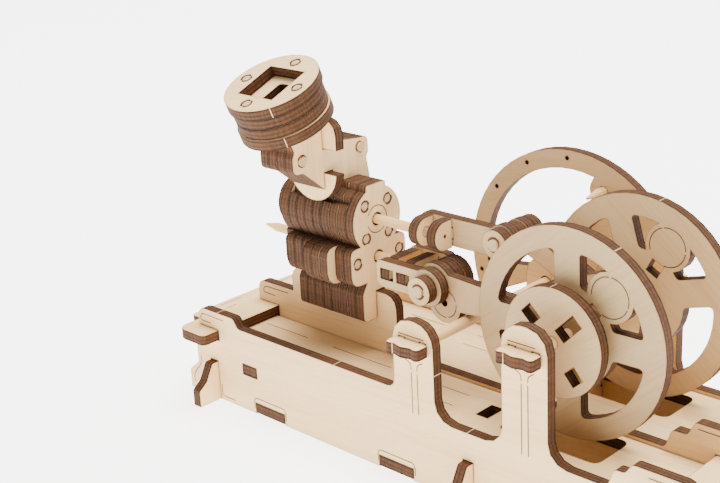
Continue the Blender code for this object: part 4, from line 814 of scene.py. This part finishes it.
class ENGINE_OT_marks(bpy.types.Operator):
    """Adds the pale stubs where each piece was snapped out of its sheet"""
    bl_idname = "engine.marks"
    bl_label = "Bridge marks"

    def execute(self, context):
        pale = engraving("bridge_mark", (0.66, 0.44, 0.27), 0.12)
        middle = (0.0, 0.0)
        for node, centre, radius, angles in (
                ("head_disc_1", middle, HEAD_RADIUS, (-48.0, 70.0, 190.0)),
                ("head_disc_4", middle, HEAD_RADIUS, (-46.0, 100.0, 215.0)),
                ("front_flywheel", CRANK_AXIS, FLYWHEEL_RADIUS, (62.0, 165.0, 285.0)),
                ("rear_flywheel", CRANK_AXIS, FLYWHEEL_RADIUS, (78.0, 190.0, 320.0)),
                ("crank_disc", CRANK_AXIS, CRANK_DISC_RADIUS, (92.0, 215.0)),
                ("hand_wheel", HAND_AXIS, HAND_WHEEL_RADIUS, (30.0, 150.0, 270.0))):
            bridge_marks(f"{node}_marks", node, polar(centre, radius, *angles), pale)
        panel = [(0.5, 26.0), (45.0, 23.4), (78.4, 30.0), (88.0, 18.6)]
        bridge_marks("front_panel_marks", "front_panel", panel, pale)
        bridge_marks("left_top_marks", "left_top_plate", [(0.4, 8.0), (0.4, 30.0), (-14.5, 27.0)], pale)
        bridge_marks("hand_clip_marks", "hand_axle_clip", [(69.4, -4.4)], pale)
        bridge_marks("crank_clip_marks", "front_crank_clip", [(102.0, -4.4)], pale)
        return {"FINISHED"}


class ENGINE_OT_stage(bpy.types.Operator):
    """Builds the pale floor, the soft studio light and the camera"""
    bl_idname = "engine.stage"
    bl_label = "Stage"

    def execute(self, context):
        look = context.scene.stage_look
        floor_plane(tuple(look.floor), look.glow)
        world = bpy.data.worlds.new("studio")
        context.scene.world = world
        world.use_nodes = True
        background = world.node_tree.nodes["Background"]
        background.inputs["Color"].default_value = (1.0, 0.99, 0.975, 1.0)
        background.inputs["Strength"].default_value = 0.45
        middle = (0.06, 0.02, 0.04)
        soft_light("key", look.key, 1.6, (0.20, 0.35, 1.9), middle, (1.0, 0.98, 0.95))
        soft_light("front", look.key * 0.07, 1.4, (-0.55, -1.8, 0.75), middle, (1.0, 0.98, 0.95))
        camera = bpy.data.cameras.new("camera")
        camera.lens = look.lens
        camera.sensor_width = 36.0
        camera.clip_start = 0.01
        holder = bpy.data.objects.new("camera", camera)
        context.scene.collection.objects.link(holder)
        context.scene.camera = holder
        place_camera(holder)
        return {"FINISHED"}


def place_camera(holder):
    """Camera at the measured place, turned by its azimuth, elevation and roll in degrees."""
    azimuth, elevation, roll = (math.radians(value) for value in CAMERA_TURN)
    ahead = np.array([-math.sin(azimuth) * math.cos(elevation), math.cos(azimuth) * math.cos(elevation),
                      -math.sin(elevation)])
    right = np.cross(ahead, [0.0, 0.0, 1.0])
    right /= np.linalg.norm(right)
    down = np.cross(ahead, right)
    turned_right = math.cos(roll) * right + math.sin(roll) * down
    turned_down = -math.sin(roll) * right + math.cos(roll) * down
    place = (CAMERA_PLACE + SHIFT) * MM
    matrix = np.eye(4)
    matrix[:3, 0], matrix[:3, 1], matrix[:3, 2], matrix[:3, 3] = turned_right, -turned_down, -ahead, place
    holder.matrix_world = Matrix(matrix.tolist())


def soft_light(name, power, size, place, target, colour):
    """Large square lamp that looks at a point."""
    lamp = bpy.data.lights.new(name, "AREA")
    lamp.energy = power
    lamp.size = size
    lamp.color = colour
    holder = bpy.data.objects.new(name, lamp)
    bpy.context.scene.collection.objects.link(holder)
    back = np.array(place, float) - np.array(target, float)
    back /= np.linalg.norm(back)
    side = np.cross([0.0, 1.0, 0.0] if abs(back[2]) > 0.9 else [0.0, 0.0, 1.0], back)
    side /= np.linalg.norm(side)
    matrix = np.eye(4)
    matrix[:3, 0], matrix[:3, 1], matrix[:3, 2], matrix[:3, 3] = side, np.cross(back, side), back, place
    holder.matrix_world = Matrix(matrix.tolist())


def floor_plane(colour, glow):
    """Square floor lit from below like a photo table: two grid parameters scaled to its reach, just
    under the feet."""
    reach, steps = 3000.0, 9
    u, v = np.meshgrid(np.linspace(-reach, reach, steps), np.linspace(-reach, reach, steps), indexing="ij")
    points = np.stack([u.ravel(), v.ravel(), np.full(u.size, -0.02)], 1)
    mesh = bpy.data.meshes.new("studio_floor")
    mesh.from_pydata((points * MM).tolist(), [], grid_faces(steps, steps).tolist())
    recipe = Recipe("floor_paint")
    place = recipe.add("ShaderNodeTexCoord", output="Object")
    mottle = recipe.noise(place, 2.0, 0.5, 3.0)
    paint = recipe.mix(mottle * 0.2, colour, shade_steps(colour, 1.05))
    recipe.shader.inputs["Emission Color"].default_value = (1.0, 1.0, 1.0, 1.0)
    recipe.shader.inputs["Emission Strength"].default_value = glow
    mesh.materials.append(recipe.finish(paint, 0.9))
    floor = bpy.data.objects.new("studio_floor", mesh)
    bpy.context.scene.collection.objects.link(floor)


class ENGINE_PT_panel(bpy.types.Panel):
    """Lists the engine's operators and settings"""
    bl_idname = "ENGINE_PT_panel"
    bl_label = "Plywood engine"
    bl_space_type = "VIEW_3D"
    bl_region_type = "UI"
    bl_category = "Engine"

    def draw(self, context):
        for operator in OPERATORS:
            self.layout.operator(operator.bl_idname)
        for group in (context.scene.sheet_finish, context.scene.stick_finish, context.scene.stage_look):
            for name in group.__annotations__:
                self.layout.prop(group, name)


GROUPS = {"sheet_finish": SheetFinish, "stick_finish": StickFinish, "stage_look": StageLook}
OPERATORS = (ENGINE_OT_sheets, ENGINE_OT_sticks, ENGINE_OT_pins, ENGINE_OT_engraving, ENGINE_OT_marks,
             ENGINE_OT_stage)


def register():
    """Registers the settings, operators and panel."""
    for name, group in GROUPS.items():
        bpy.utils.register_class(group)
        setattr(bpy.types.Scene, name, bpy.props.PointerProperty(type=group))
    for item in (*OPERATORS, ENGINE_PT_panel):
        bpy.utils.register_class(item)


def unregister():
    """Removes what register added."""
    for item in (ENGINE_PT_panel, *reversed(OPERATORS)):
        bpy.utils.unregister_class(item)
    for name, group in reversed(GROUPS.items()):
        delattr(bpy.types.Scene, name)
        bpy.utils.unregister_class(group)


def main():
    """Runs every operator in order."""
    register()
    for operator in OPERATORS:
        group, name = operator.bl_idname.split(".")
        getattr(getattr(bpy.ops, group), name)()


if __name__ == "__main__":
    main()
